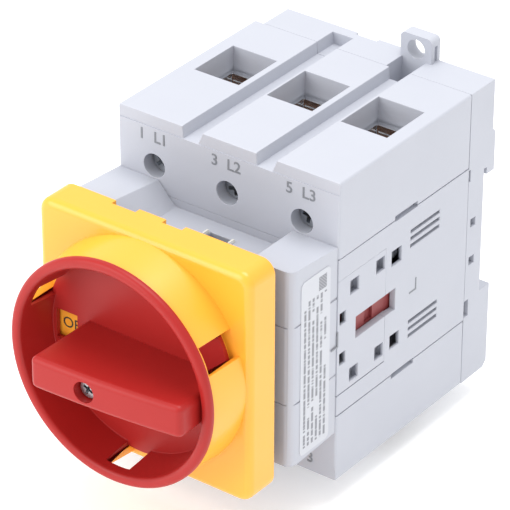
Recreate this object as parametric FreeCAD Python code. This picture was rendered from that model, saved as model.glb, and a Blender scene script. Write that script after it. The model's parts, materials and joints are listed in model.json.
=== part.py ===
"""Rotary isolator switch: a grey stacked body with clamp terminals above and below, a square
yellow plate with a lockable ring, and a red rotary handle.

Row frame: origin at the centre of the rear mounting plane, on the handle's axis.
+X towards pole 3, +Y towards the wall behind, +Z up. All lengths are in millimetres.
"""
import FreeCAD, Part
import math
import os

V = FreeCAD.Vector

# ---------------------------------------------------------------- driving dimensions
# Body, a stack along Y. Depths are negative because the rear plane is y = 0.
HALF_WIDTH = 35.7
HALF_HEIGHT = 45.2
BASE_FRONT = -12.4
BLOCK_FRONT = -72.0
MECHANISM_REAR = -50.5
FRONT_BLOCK_FRONT = -91.8
BASE_LEFT = -32.6
UPPER_SEAM = 22.8
LOWER_SEAM = -24.6
POCKET_TOP = 16.4
POCKET_BOTTOM = -18.6
EDGE_ROUND = 0.7
FIT_GAP = 0.1
JOINT_LINE = 0.25
JOINT_LINE_DEPTH = 0.7

# Poles and terminals
POLE_PITCH = 23.9
POLES = (-POLE_PITCH, 0.0, POLE_PITCH)
WINDOW_WIDTH = 14.6
WINDOW_FRONT = -44.9
WINDOW_REAR = -27.9
CLAMP_CHAMBER_TOP = 38.6
CLAMP_CHAMBER_FRONT = -56.0
CLAMP_FLOOR = 1.8
SCREW_Z = 30.3
SCREW_ACCESS_R = 3.45
SCREW_HEAD_R = 3.2
SCREW_SHANK_R = 3.0
SCREW_HEAD_FRONT = -68.6
SCREW_HEAD_REAR = -64.6
SCREW_CHAMFER = 0.4
SCREW_RECESS_R = 2.1
SCREW_RECESS_DEPTH = 2.4
SCREW_RECESS_WIDTH = 1.0
GROOVE_CENTRE = 11.9
GROOVE_FLOOR_WIDTH = 4.8
GROOVE_DEPTH = 3.6
GROOVE_SLANT = 2.0
GROOVE_OPEN = 0.4
PAD_SETBACK = 0.25

# Current path
BAR_HALF_WIDTH = 5.5
BAR_FRONT = -42.0
BAR_THICKNESS = 2.0
BAR_INNER_END = 7.5
BAR_OUTER_END = 38.0
PAD_THICKNESS = 0.9
PAD_HEIGHT = 6.0
PAD_HALF_WIDTH = 4.0
CONTACT_TRAVEL = 7.0
CONTACT_GAP = 0.1
BRIDGE_THICKNESS = 1.6
BRIDGE_HALF_WIDTH = 3.2
BRIDGE_HALF_LENGTH = 13.5
MOVING_PAD = 0.4

# Clamp cage round each current bar
CAGE_FRONT = -45.4
CAGE_REAR = -28.4
CAGE_FRONT_WALL = 3.0
CAGE_REAR_WALL = 2.0
CAGE_SIDE_WALL = 1.2
CAGE_HALF_WIDTH = 7.1
CAGE_BOTTOM = 26.6
CAGE_TOP = 38.3
CAGE_CORNER_R = 1.0
THREAD_CLEARANCE = 0.02

# Chambers inside the contact housing
CHAMBER_HALF_WIDTH = 9.9
CHAMBER_FRONT = -48.0
CHAMBER_REAR = -15.0
CHAMBER_TOP = 18.0
CHAMBER_BOTTOM = -20.0
CAVITY_HALF_WIDTH = 33.5
CAVITY_TOP = 14.4
CAVITY_BOTTOM = -15.6
ARC_PLATES_PER_STACK = 5
ARC_PLATE_PITCH = 3.0

# Clip pockets, vents, lock slots and the indicator window in the side faces
CLIP_WALL = 0.9
CLIP_DEPTH = 2.6
CLIP_UNDERCUT = 1.0
CLIP_PLACES = (
    (-64.6, 12.1, 3.8, 4.2), (-53.0, 12.5, 3.8, 4.0), (-45.7, 11.7, 4.5, 4.5), (-69.7, 4.6, 2.7, 3.5),
    (-69.6, -7.7, 2.7, 3.5), (-64.4, -14.7, 3.8, 4.0), (-53.0, -14.1, 3.8, 4.0), (-45.9, -14.1, 4.3, 4.1))
VENT_FIRST_Z = (11.2, -16.7)
VENT_COUNT = 3
VENT_PITCH = 2.2
VENT_HEIGHT = 1.0
VENT_FRONT = -39.4
VENT_REAR = -25.9
LOCK_SLOT_FRONT = -46.8
LOCK_SLOT_REAR = -36.6
LOCK_SLOT_DROP = 0.3
LOCK_SLOT_RISE = 1.3
LOCK_SLOT_DEPTH = 1.5
INDICATOR_FRONT = -63.8
INDICATOR_REAR = -46.0
INDICATOR_BOTTOM = -4.45
INDICATOR_TOP = 2.0

# Long screws through the stack, driven from behind
STACK_SCREW_X = 31.0
STACK_SCREW_Z = (10.8, -13.0)
STACK_SCREW_R = 1.5
STACK_SCREW_HEAD_R = 2.7
STACK_SCREW_HEAD = 2.4
STACK_SCREW_TIP = -89.5
STACK_SCREW_SEAT = -45.0
CORNER_BLOCK_REACH = 2.6
BASE_SCREW_X = 11.9
BASE_SCREW_Z = (20.4, -22.3)
BASE_SCREW_HEAD_R = 2.9
BASE_SCREW_HEAD = 2.6
BASE_SCREW_FACE = -4.0
BASE_SCREW_LENGTH = 22.0

# Arc chutes
ARC_FIRST_Y = -37.0
ARC_PLATE_THICKNESS = 1.0
ARC_HALF_WIDTH = 8.5
ARC_BOTTOM = 6.5
ARC_TOP = 17.5
ARC_NOTCH_HALF = 2.2
ARC_NOTCH_TOP = 11.0

# Front block
BLOCK_HALF = 35.4
BLOCK_CORNER_R = 2.6
LOBE_TOP = 29.0
VALLEY_TOP = 20.6
LOWER_OUTLINE_DROP = 2.0
WHEEL_ROOM = 22.0
WHEEL_ROOM_HALF_HEIGHT = 17.0
SEAM_LINES = (11.6, -11.6)
SEAM_LINE_HALF = 0.25
SEAM_LINE_DEPTH = 0.3
CATCH_SLOT = (-1.4, 5.8, -80.4, -77.2)
CATCH_SLOT_FLOOR = 12.5
LABEL_THICKNESS = 0.2
LABEL_FRONT = -87.9
LABEL_REAR = -75.3
LABEL_BOTTOM = -29.0
LABEL_TOP = 23.4
LABEL_CORNER_R = 1.6

# Front plate and its ring
PLATE_HALF = 34.1
PANEL_GAP = 5.2
PLATE_THICKNESS = 10.4
PLATE_BACK = FRONT_BLOCK_FRONT - PANEL_GAP
PLATE_FRONT = PLATE_BACK - PLATE_THICKNESS
PLATE_CORNER_R = 4.0
PLATE_EDGE_R = 2.2
PLATE_SKIN = 3.2
PLATE_WALL = 2.6
RING_BASE_R = 32.8
RING_FRONT_R = 31.4
RING_INNER_R = 30.3
RING_FRONT = -119.3
PLATE_SCREW_SPACING = 36.0
PLATE_SCREW_R = 2.0
HUB_R = 9.85
HUB_BORE_R = 9.92
DIAL_FRONT = -107.9
DIAL_R = 29.0

# Handle
RIM_FRONT = -122.0
RIM_BACK = -119.7
RIM_OUTER_R = 32.4
RIM_ROUND = 1.1
MOUTH_ROUND = 1.0
BOWL_MOUTH_R = 29.3
BOWL_FLOOR_R = 28.2
BOWL_OUTER_R = 30.0
BOWL_OUTER_BACK_R = 29.6
BOWL_FLOOR_FRONT = -109.6
BOWL_FLOOR_BACK = -108.2
GRIP_LEFT = -17.0
GRIP_RIGHT = 27.8
GRIP_FRONT_LEFT = -132.5
GRIP_FRONT_MIDDLE = -131.4
GRIP_FRONT_RIGHT = -128.7
GRIP_HALF_FRONT = 4.7
GRIP_HALF_BASE = 4.3
GRIP_ROUND = 1.4
WINDOW_ANGLES = (25.0, 155.0, 270.0)
PADLOCK_WIDTH = 7.7
PADLOCK_FRONT = -118.7
PADLOCK_BOWL_R = 27.0
HANDLE_TURN = 90.0
LEGEND_WINDOW_LEFT = -26.9
LEGEND_WINDOW_RIGHT = -20.0
LEGEND_WINDOW_BOTTOM = -4.4
LEGEND_WINDOW_TOP = 4.1
HANDLE_SCREW_FACE = -129.8
HANDLE_SCREW_HEAD = 2.0

# Shaft and mechanism
SHAFT_HALF = 4.0
SHAFT_FRONT = -120.0
SHAFT_REAR = -59.0
HANDLE_SCREW_R = 2.0
HANDLE_SCREW_HEAD_R = 2.8
BUSH_R = 7.0
BUSH_BORE_R = 7.06
WHEEL_FLAT = 7.0
WHEEL_CORNER_R = 8.6
WHEEL_FRONT = -84.0
WHEEL_REAR = -78.0
CAM_R = 8.0
CAM_FRONT = -71.0
CAM_REAR = -58.0
CAM_PIN_R = 1.8
CAM_PIN_REACH = 12.0
CAM_PIN_Y = -61.6
SLEEVE_BORE_R = 8.3
SLEEVE_R = 12.6
BEAM_HALF = 33.0
BEAM_HALF_HEIGHT = 5.0
BEAM_REAR = -56.0
HOLDER_HALF = 5.0
HOLDER_REAR = -48.6
FLAG_FACE = 33.2
FLAG_FRONT = -66.0
FLAG_REAR = -44.0
FLAG_BOTTOM = -5.2
FLAG_TOP = 2.8
FLAG_NOTCH_FRONT = -56.6
FLAG_NOTCH_REAR = -53.0

# Rear base, rail hooks and latch
BASE_UPPER_REAR = -1.2
RAIL_FLOOR = -4.9
RAIL_LIP_FRONT = -3.7
RAIL_TOP = 17.2
RAIL_UNDERCUT = 19.4
LATCH_NOSE = -15.2
FOOT_TOP = -18.6
LATCH_HALF = 8.0
LATCH_FLANGE_HALF = 9.5
LATCH_BOTTOM = -44.6
UPPER_STEP = 30.2
FOOT_CHAMFER = 1.7
SIDE_NICK_DEPTH = 2.2
SIDE_NICKS = ((-10.8, -8.4, 3.9, 6.3), (-10.8, -8.4, -7.9, -5.5),
              (BASE_FRONT - 1, -10.4, -23.9, -18.9), (BASE_FRONT - 1, -11.6, 18.6, 22.1))
LUG_ROOT = 36.0
LUG_CORNER_R = 1.6
SLIDE_GAP = 0.1
LUG_X = 12.6
LUG_HALF = 5.1
LUG_TIP = 52.4
LUG_HOLE_Z = 48.3
LUG_HOLE_R = 2.8
LUG_FRONT = -5.0
LUG_REAR = -1.0
LUG_FLUTE_DEPTH = 0.6
LUG_FLUTE_FRONT = -3.6
LUG_FLUTE_REAR = -2.4


# ---------------------------------------------------------------- plain shapes
def box(x0, x1, y0, y1, z0, z1):
    """A block between two corners."""
    corner = V(min(x0, x1), min(y0, y1), min(z0, z1))
    return Part.makeBox(abs(x1 - x0), abs(y1 - y0), abs(z1 - z0), corner)


def rod(x, z, radius, y0, y1):
    """A cylinder along Y."""
    return Part.makeCylinder(radius, y1 - y0, V(x, y0, z), V(0, 1, 0))


def cone(radius_front, radius_back, y0, y1):
    """A cone along Y on the handle's axis."""
    return Part.makeCone(radius_front, radius_back, y1 - y0, V(0, y0, 0), V(0, 1, 0))


def prism(points, offset):
    """A straight-sided solid from a closed list of corners and an extrusion vector."""
    wire = Part.makePolygon([V(*p) for p in points] + [V(*points[0])])
    return Part.Face(wire).extrude(offset)


def turned(shape, degrees):
    """A copy turned about the handle's axis, anticlockwise seen from the front."""
    copy = shape.copy()
    copy.rotate(V(0, 0, 0), V(0, -1, 0), degrees)
    return copy


def flipped(shape):
    """A copy mirrored from the line side to the load side."""
    return shape.mirror(V(0, 0, 0), V(0, 0, 1))


def moved(shape, x=0.0, y=0.0, z=0.0):
    """A copy shifted by the given steps."""
    copy = shape.copy()
    copy.translate(V(x, y, z))
    return copy


def joined(shapes):
    """One solid from overlapping shapes, with its leftover seams removed."""
    shapes = list(shapes)
    return shapes[0].fuse(shapes[1:]).removeSplitter()


def less(shape, tools):
    """The shape with every tool cut away, one after another."""
    for tool in tools:
        shape = shape.cut(tool)
    return shape.removeSplitter()


def rounded(shape, radius, wanted):
    """The shape with a fillet on each edge that the test picks by the edge's box."""
    edges = [e for e in shape.Edges if wanted(e.BoundBox)]
    return shape.makeFillet(radius, edges)


def near(value, target):
    """True when two lengths agree."""
    return abs(value - target) < 0.01


def on_plane_y(bounds, y):
    """True for an edge that lies in one plane across Y."""
    return near(bounds.YMin, y) and near(bounds.YMax, y)


def coil(radius, wire_radius, length, turns, start, axis):
    """A round-wire compression spring that starts at a point and runs along an axis."""
    pitch = (length - 2 * wire_radius) / turns
    helix = Part.makeHelix(pitch, pitch * turns, radius)
    circle = Part.Circle(V(radius, 0, 0), V(0, 1, 0), wire_radius)
    section = Part.Wire(circle.toShape())
    spring = Part.Wire(helix.Edges).makePipeShell([section], True, True)
    spring.translate(V(0, 0, wire_radius))
    turn = FreeCAD.Rotation(V(0, 0, 1), axis)
    spring.Placement = FreeCAD.Placement(start, turn).multiply(spring.Placement)
    return spring


def cross_recess(radius, depth, width, y_face):
    """The cross-shaped pocket of a screw head, cut from the front."""
    upright = box(-width / 2, width / 2, y_face, y_face + depth, -radius, radius)
    level = box(-radius, radius, y_face, y_face + depth, -width / 2, width / 2)
    return upright.fuse(level)


# ---------------------------------------------------------------- terminal blocks
def groove(x_centre):
    """One driver groove between two pads, with its outer wall slanted."""
    left = x_centre - GROOVE_FLOOR_WIDTH / 2
    right = x_centre + GROOVE_FLOOR_WIDTH / 2
    floor = HALF_HEIGHT - GROOVE_DEPTH
    top = HALF_HEIGHT + 1.0
    corners = [
        (left - GROOVE_OPEN, BLOCK_FRONT - 1, top),
        (left, BLOCK_FRONT - 1, floor),
        (right, BLOCK_FRONT - 1, floor),
        (right + GROOVE_SLANT, BLOCK_FRONT - 1, top),
    ]
    return prism(corners, V(0, LUG_FRONT - BLOCK_FRONT + 1, 0))


def terminal_block(seam):
    """The terminal block above a seam height, with its three clamp chambers."""
    block = box(-HALF_WIDTH, HALF_WIDTH, BLOCK_FRONT, BASE_FRONT, seam, HALF_HEIGHT)

    def outer_edge(b):
        front_top = on_plane_y(b, BLOCK_FRONT) and near(b.ZMin, HALF_HEIGHT)
        front_side = on_plane_y(b, BLOCK_FRONT) and near(b.XMin, b.XMax)
        top_side = near(b.ZMin, HALF_HEIGHT) and near(b.XMin, b.XMax) and b.YLength > 1
        return front_top or front_side or top_side

    block = rounded(block, EDGE_ROUND, outer_edge)
    pad_foot = HALF_HEIGHT - GROOVE_DEPTH
    setback = box(-HALF_WIDTH - 1, HALF_WIDTH + 1, BLOCK_FRONT - 1, BLOCK_FRONT + PAD_SETBACK,
                  pad_foot, HALF_HEIGHT + 1)
    tools = [setback, groove(-GROOVE_CENTRE), groove(GROOVE_CENTRE)]
    floor = seam + CLAMP_FLOOR
    for x in POLES:
        half = WINDOW_WIDTH / 2
        tools.append(box(x - half, x + half, WINDOW_FRONT, WINDOW_REAR, floor, HALF_HEIGHT + 1))
        tools.append(box(x - half, x + half, CLAMP_CHAMBER_FRONT, WINDOW_FRONT + 1, floor, CLAMP_CHAMBER_TOP))
        tools.append(rod(x, SCREW_Z, SCREW_ACCESS_R, BLOCK_FRONT - 1, SCREW_HEAD_REAR))
        tools.append(rod(x, SCREW_Z, SCREW_SHANK_R + FIT_GAP, SCREW_HEAD_REAR - 1, CLAMP_CHAMBER_FRONT + 1))
        tools.append(bar_slot(x, seam - 1, floor + 1))
    tools += lock_slot(seam - LOCK_SLOT_DROP, seam + LOCK_SLOT_RISE)
    tools += joint_line(BLOCK_FRONT - 1, BASE_FRONT + 1, seam - 1, seam + JOINT_LINE)
    tools += joint_line(BASE_FRONT - JOINT_LINE, BASE_FRONT + 1, seam - 1, HALF_HEIGHT + 1)
    return less(block, tools)


def bar_slot(x, z0, z1):
    """The slot that one current bar passes through."""
    return box(x - BAR_HALF_WIDTH - FIT_GAP, x + BAR_HALF_WIDTH + FIT_GAP, BAR_FRONT - FIT_GAP,
               BAR_FRONT + BAR_THICKNESS + FIT_GAP, z0, z1)


def current_bar(x):
    """One line-side bar: from inside its clamp down to the fixed contact."""
    bar = box(x - BAR_HALF_WIDTH, x + BAR_HALF_WIDTH, BAR_FRONT, BAR_FRONT + BAR_THICKNESS,
              BAR_INNER_END, BAR_OUTER_END)
    pad = box(x - PAD_HALF_WIDTH, x + PAD_HALF_WIDTH, BAR_FRONT - PAD_THICKNESS, BAR_FRONT, BAR_INNER_END,
              BAR_INNER_END + PAD_HEIGHT)
    return bar.fuse(pad).removeSplitter()


def clamp_cage(x):
    """One box clamp: a square ring round the bar, threaded through its front wall."""
    outer = box(x - CAGE_HALF_WIDTH, x + CAGE_HALF_WIDTH, CAGE_FRONT, CAGE_REAR, CAGE_BOTTOM, CAGE_TOP)
    outer = rounded(outer, CAGE_CORNER_R, lambda b: b.ZLength > 5)
    inner_half = CAGE_HALF_WIDTH - CAGE_SIDE_WALL
    hollow = box(x - inner_half, x + inner_half, CAGE_FRONT + CAGE_FRONT_WALL,
                 CAGE_REAR - CAGE_REAR_WALL, CAGE_BOTTOM - 1, CAGE_TOP + 1)
    thread = rod(x, SCREW_Z, SCREW_SHANK_R + THREAD_CLEARANCE, CAGE_FRONT - 1,
                 CAGE_FRONT + CAGE_FRONT_WALL + 1)
    return less(outer, [hollow, thread])


def terminal_screw(x):
    """One clamp screw, head to the front and its tip against the current bar."""
    head = rod(0, 0, SCREW_HEAD_R, SCREW_HEAD_FRONT, SCREW_HEAD_REAR)
    head = head.makeChamfer(SCREW_CHAMFER, [e for e in head.Edges if on_plane_y(e.BoundBox, SCREW_HEAD_FRONT)])
    shank = rod(0, 0, SCREW_SHANK_R, SCREW_HEAD_REAR, BAR_FRONT - FIT_GAP)
    screw = joined([head, shank])
    recess = cross_recess(SCREW_RECESS_R, SCREW_RECESS_DEPTH, SCREW_RECESS_WIDTH, SCREW_HEAD_FRONT)
    screw = less(screw, [recess])
    return moved(screw, x=x, z=SCREW_Z)


# ---------------------------------------------------------------- housings
def both_sides(x_inner, x_outer, y0, y1, z0, z1):
    """The same block at the right side face and mirrored at the left one."""
    return [box(x_inner, x_outer, y0, y1, z0, z1), box(-x_outer, -x_inner, y0, y1, z0, z1)]


def joint_line(y0, y1, z0, z1):
    """A fine open joint at the edge of a moulding, in both side faces."""
    return both_sides(HALF_WIDTH - JOINT_LINE_DEPTH, HALF_WIDTH + 1, y0, y1, z0, z1)


def side_pocket(y, z, width, height):
    """A clip pocket in both side faces, named by its centre, wider behind its thin front wall."""
    y0, y1 = y - width / 2, y + width / 2
    z0, z1 = z - height / 2, z + height / 2
    mouth = both_sides(HALF_WIDTH - CLIP_DEPTH, HALF_WIDTH + 1, y0, y1, z0, z1)
    behind = both_sides(HALF_WIDTH - CLIP_DEPTH, HALF_WIDTH - CLIP_WALL, y0, y1 + CLIP_UNDERCUT,
                        z0 - CLIP_UNDERCUT, z1)
    return mouth + behind


def side_pockets():
    """Every clip pocket in the side faces of the two inner housings."""
    return [tool for place in CLIP_PLACES for tool in side_pocket(*place)]


def louvres():
    """Three vent slots above and three below, through both side walls."""
    tools = []
    for z_first in VENT_FIRST_Z:
        for step in range(VENT_COUNT):
            z = z_first + VENT_PITCH * step
            tools.append(box(-HALF_WIDTH - 1, HALF_WIDTH + 1, VENT_FRONT, VENT_REAR, z, z + VENT_HEIGHT))
    return tools


def lock_slot(z0, z1):
    """The short wide slot at a seam where a terminal block latches on."""
    return both_sides(HALF_WIDTH - LOCK_SLOT_DEPTH, HALF_WIDTH + 1, LOCK_SLOT_FRONT, LOCK_SLOT_REAR, z0, z1)


def indicator_window():
    """The opening in the right side through which the red slider shows."""
    return box(HALF_WIDTH - 4, HALF_WIDTH + 1, INDICATOR_FRONT, INDICATOR_REAR, INDICATOR_BOTTOM, INDICATOR_TOP)


def mechanism_housing():
    """The frame round the drive cam, let into the front of the contact housing."""
    body = box(-HALF_WIDTH, HALF_WIDTH, BLOCK_FRONT, MECHANISM_REAR, POCKET_BOTTOM, POCKET_TOP)
    cavity = box(-CAVITY_HALF_WIDTH, CAVITY_HALF_WIDTH, BLOCK_FRONT - 1, MECHANISM_REAR + 1,
                 CAVITY_BOTTOM, CAVITY_TOP)
    body = joined([less(body, [cavity])] + corner_blocks(BLOCK_FRONT, MECHANISM_REAR))
    holes = [rod(x, z, STACK_SCREW_R, BLOCK_FRONT - 1, MECHANISM_REAR + 1)
             for x, z in housing_screw_places()]
    foot_line = joint_line(BLOCK_FRONT - 1, MECHANISM_REAR + 1, POCKET_BOTTOM - 1, POCKET_BOTTOM + JOINT_LINE)
    return less(body, holes + side_pockets() + foot_line + [indicator_window()])


def corner_blocks(y0, y1):
    """The thick inner corners that the four long screws pass through."""
    blocks = []
    for x, z in housing_screw_places():
        x_side = math.copysign(1.0, x)
        z_side = math.copysign(1.0, z)
        blocks.append(box(x - CORNER_BLOCK_REACH * x_side, x_side * (HALF_WIDTH - 1), y0, y1,
                          z - CORNER_BLOCK_REACH * z_side,
                          POCKET_TOP - 1 if z > 0 else POCKET_BOTTOM + 1))
    return blocks


def housing_screw_places():
    """The centres of the four long screws through the front stack."""
    return [(x, z) for x in (-STACK_SCREW_X, STACK_SCREW_X) for z in STACK_SCREW_Z]


def base_screw_places():
    """The centres of the four screws through the rear base."""
    return [(x, z) for x in (-BASE_SCREW_X, BASE_SCREW_X) for z in BASE_SCREW_Z]


def contact_housing():
    """The housing with one contact chamber for each pole."""
    body = box(-HALF_WIDTH, HALF_WIDTH, BLOCK_FRONT, BASE_FRONT, LOWER_SEAM, UPPER_SEAM)
    pocket = box(-HALF_WIDTH - 1, HALF_WIDTH + 1, BLOCK_FRONT - 1, MECHANISM_REAR, POCKET_BOTTOM, POCKET_TOP)
    step = box(-CAVITY_HALF_WIDTH, CAVITY_HALF_WIDTH, MECHANISM_REAR - 1, CHAMBER_FRONT,
               CAVITY_BOTTOM, CAVITY_TOP)
    tools = [pocket, step, indicator_window()]
    for x in POLES:
        tools.append(box(x - CHAMBER_HALF_WIDTH, x + CHAMBER_HALF_WIDTH, CHAMBER_FRONT - 0.5,
                         CHAMBER_REAR, CHAMBER_BOTTOM, CHAMBER_TOP))
        tools.append(bar_slot(x, CHAMBER_TOP - 1, UPPER_SEAM + 1))
        tools.append(bar_slot(x, LOWER_SEAM - 1, CHAMBER_BOTTOM + 1))
    for x, z in base_screw_places():
        tools.append(rod(x, z, STACK_SCREW_R, BASE_SCREW_FACE - BASE_SCREW_LENGTH, BASE_FRONT + 1))
    body = less(body, tools + louvres())
    body = joined([body] + corner_blocks(MECHANISM_REAR, STACK_SCREW_SEAT))
    holes = [rod(x, z, STACK_SCREW_R, MECHANISM_REAR - 1, STACK_SCREW_SEAT + 1)
             for x, z in housing_screw_places()]
    upper_slot = lock_slot(UPPER_SEAM - LOCK_SLOT_DROP, UPPER_SEAM + 1)
    lower_slot = lock_slot(LOWER_SEAM - 1, LOWER_SEAM + LOCK_SLOT_DROP)
    return less(body, holes + side_pockets() + upper_slot + lower_slot)


def arc_stacks(side):
    """The steel splitter plates behind the fixed contacts, one stack for each pole."""
    plates = []
    for x in POLES:
        for step in range(ARC_PLATES_PER_STACK):
            y = ARC_FIRST_Y + step * ARC_PLATE_PITCH
            rear = y + ARC_PLATE_THICKNESS
            plate = box(x - ARC_HALF_WIDTH, x + ARC_HALF_WIDTH, y, rear, ARC_BOTTOM, ARC_TOP)
            notch = box(x - ARC_NOTCH_HALF, x + ARC_NOTCH_HALF, y - 1, rear + 1, ARC_BOTTOM - 1, ARC_NOTCH_TOP)
            plates.append(plate.cut(notch))
    stack = Part.makeCompound(plates)
    return stack if side > 0 else flipped(stack)


def front_outline(z_scale):
    """The front block's outline: two lobes with a shallow valley between them."""
    outline = [(-BLOCK_HALF, LOBE_TOP), (-24.4, LOBE_TOP), (-18.8, 22.6), (-16.6, VALLEY_TOP),
               (14.6, VALLEY_TOP), (16.8, 22.0), (20.9, 26.4), (23.4, LOBE_TOP), (BLOCK_HALF, LOBE_TOP)]
    return [(x, z_scale * z) for x, z in outline]


def front_housing():
    """The front block behind the panel: a lobed box that holds the indexing parts."""
    upper = front_outline(1.0)
    lower = [(x, z - LOWER_OUTLINE_DROP) for x, z in reversed(front_outline(-1.0))]
    corners = [(x, FRONT_BLOCK_FRONT, z) for x, z in upper + lower]
    depth = BLOCK_FRONT - FRONT_BLOCK_FRONT
    body = prism(corners, V(0, depth, 0))
    slope = [(-40, FRONT_BLOCK_FRONT, 28.2), (-40, BLOCK_FRONT, 26.7),
             (-40, BLOCK_FRONT, -29.8), (-40, FRONT_BLOCK_FRONT, -30.6)]
    body = body.common(prism(slope, V(80, 0, 0)))
    body = rounded(body, BLOCK_CORNER_R, lambda b: near(b.XMin, b.XMax) and near(abs(b.XMin), BLOCK_HALF)
                   and on_plane_y(b, FRONT_BLOCK_FRONT))
    cavity = box(-WHEEL_ROOM, WHEEL_ROOM, FRONT_BLOCK_FRONT + 3.0, BLOCK_FRONT + 1,
                 -WHEEL_ROOM_HALF_HEIGHT, WHEEL_ROOM_HALF_HEIGHT)
    side_cavities = [box(s * 24.5, s * 33.0, FRONT_BLOCK_FRONT + 6.0, BLOCK_FRONT + 1, -9, 7)
                     for s in (-1, 1)]
    body = less(body, [cavity] + side_cavities)
    bosses = [rod(x, z, 4.2, FRONT_BLOCK_FRONT + 1, -82.0) for x, z in plate_screw_places()]
    pads = [box(-13, 13, WHEEL_FRONT - 0.5, WHEEL_REAR + 0.5, 8.6, 18.0),
            box(-13, 13, WHEEL_FRONT - 0.5, WHEEL_REAR + 0.5, -18.0, -8.6)]
    spring_room = [box(-11, 11, WHEEL_FRONT - 1, WHEEL_REAR + 1, -11.5, 11.5)]
    body = joined([body] + bosses + [p.cut(spring_room[0]) for p in pads])
    tools = [rod(x, z, PLATE_SCREW_R, FRONT_BLOCK_FRONT - 1, -84.0) for x, z in plate_screw_places()]
    tools.append(rod(0, 0, BUSH_BORE_R, FRONT_BLOCK_FRONT - 1, FRONT_BLOCK_FRONT + 4))
    for x, z in housing_screw_places():
        tools.append(rod(x, z, STACK_SCREW_R + FIT_GAP, STACK_SCREW_TIP - FIT_GAP, BLOCK_FRONT + 1))
    tools.append(box(*CATCH_SLOT, CATCH_SLOT_FLOOR, LOBE_TOP + 1))
    for z in SEAM_LINES:
        z0, z1 = z - SEAM_LINE_HALF, z + SEAM_LINE_HALF
        tools.append(box(-BLOCK_HALF - 1, BLOCK_HALF + 1, FRONT_BLOCK_FRONT - 1,
                         FRONT_BLOCK_FRONT + SEAM_LINE_DEPTH, z0, z1))
        tools += both_sides(BLOCK_HALF - SEAM_LINE_DEPTH, BLOCK_HALF + 1, FRONT_BLOCK_FRONT - 1,
                            BLOCK_FRONT + 1, z0, z1)
    return less(body, tools)


def plate_screw_places():
    """The centres of the four screws that hold the plate, panel and body together."""
    half = PLATE_SCREW_SPACING / 2
    return [(x, z) for x in (-half, half) for z in (-half, half)]


# ---------------------------------------------------------------- rear base and latch
def rear_base():
    """The base: screw lugs, fixed rail hook, and the slot for the rail latch."""
    section = [
        (BASE_LEFT, BASE_FRONT, HALF_HEIGHT), (BASE_LEFT, BASE_UPPER_REAR, HALF_HEIGHT),
        (BASE_LEFT, BASE_UPPER_REAR, UPPER_STEP), (BASE_LEFT, 0, UPPER_STEP - 1.2), (BASE_LEFT, 0, RAIL_TOP),
        (BASE_LEFT, RAIL_LIP_FRONT, RAIL_TOP), (BASE_LEFT, RAIL_LIP_FRONT, RAIL_UNDERCUT),
        (BASE_LEFT, RAIL_FLOOR, RAIL_UNDERCUT), (BASE_LEFT, RAIL_FLOOR, FOOT_TOP),
        (BASE_LEFT, 0, FOOT_TOP), (BASE_LEFT, 0, FOOT_CHAMFER - HALF_HEIGHT),
        (BASE_LEFT, -FOOT_CHAMFER, -HALF_HEIGHT),
        (BASE_LEFT, BASE_FRONT, -HALF_HEIGHT),
    ]
    body = prism(section, V(HALF_WIDTH - BASE_LEFT, 0, 0))
    lug = box(LUG_X - LUG_HALF, LUG_X + LUG_HALF, LUG_FRONT, LUG_REAR, LUG_ROOT, LUG_TIP)
    lug = rounded(lug, LUG_CORNER_R, lambda b: near(b.ZMin, LUG_TIP) and near(b.XMin, b.XMax))
    lug = less(lug, [box(LUG_X + side * (LUG_HALF - LUG_FLUTE_DEPTH), LUG_X + side * (LUG_HALF + 1),
                         LUG_FLUTE_FRONT, LUG_FLUTE_REAR, HALF_HEIGHT, LUG_HOLE_Z + 1.5)
                     for side in (-1, 1)])
    opposite_lug = moved(flipped(lug), x=-2 * LUG_X)
    body = joined([body, lug, opposite_lug])
    slot_half = LATCH_FLANGE_HALF + SLIDE_GAP
    body_half = LATCH_HALF + SLIDE_GAP
    tools = [
        rod(LUG_X, LUG_HOLE_Z, LUG_HOLE_R, LUG_FRONT - 1, LUG_REAR + 1),
        rod(-LUG_X, -LUG_HOLE_Z, LUG_HOLE_R, LUG_FRONT - 1, LUG_REAR + 1),
        box(-slot_half, slot_half, RAIL_LIP_FRONT - SLIDE_GAP, -2.1, -50, FOOT_TOP + 1),
        box(-body_half, body_half, -2.2, 1, -50, FOOT_TOP + 1),
        box(-3.0, 3.0, -8.0, RAIL_LIP_FRONT, -38.0, -20.6),
        box(-8.7, -2.0, -2.4, 1, HALF_HEIGHT - 3, HALF_HEIGHT + 1),
    ]
    tools += [driver_channel(1), driver_channel(-1)]
    tools += [groove(-GROOVE_CENTRE), groove(GROOVE_CENTRE)]
    tools += [flipped(groove(-GROOVE_CENTRE)), flipped(groove(GROOVE_CENTRE))]
    for x, z in base_screw_places():
        tools.append(rod(x, z, BASE_SCREW_HEAD_R + 2 * FIT_GAP, BASE_SCREW_FACE - BASE_SCREW_HEAD, 2))
        tools.append(rod(x, z, STACK_SCREW_R + FIT_GAP, BASE_FRONT - 1, BASE_SCREW_FACE - 2))
    nick = HALF_WIDTH - SIDE_NICK_DEPTH
    for y0, y1, z0, z1 in SIDE_NICKS:
        tools.append(box(nick, HALF_WIDTH + 1, y0, y1, z0, z1))
    return less(body, tools)


def driver_channel(side):
    """The deeper cut in front of a lug, which lets a screwdriver reach its screw."""
    z0, z1 = sorted((side * 37.5, side * (HALF_HEIGHT + 1)))
    x0, x1 = sorted((side * (LUG_X - 4.4), side * (LUG_X + 1.8)))
    return box(x0, x1, BASE_FRONT - 1, LUG_FRONT, z0, z1)


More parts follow.
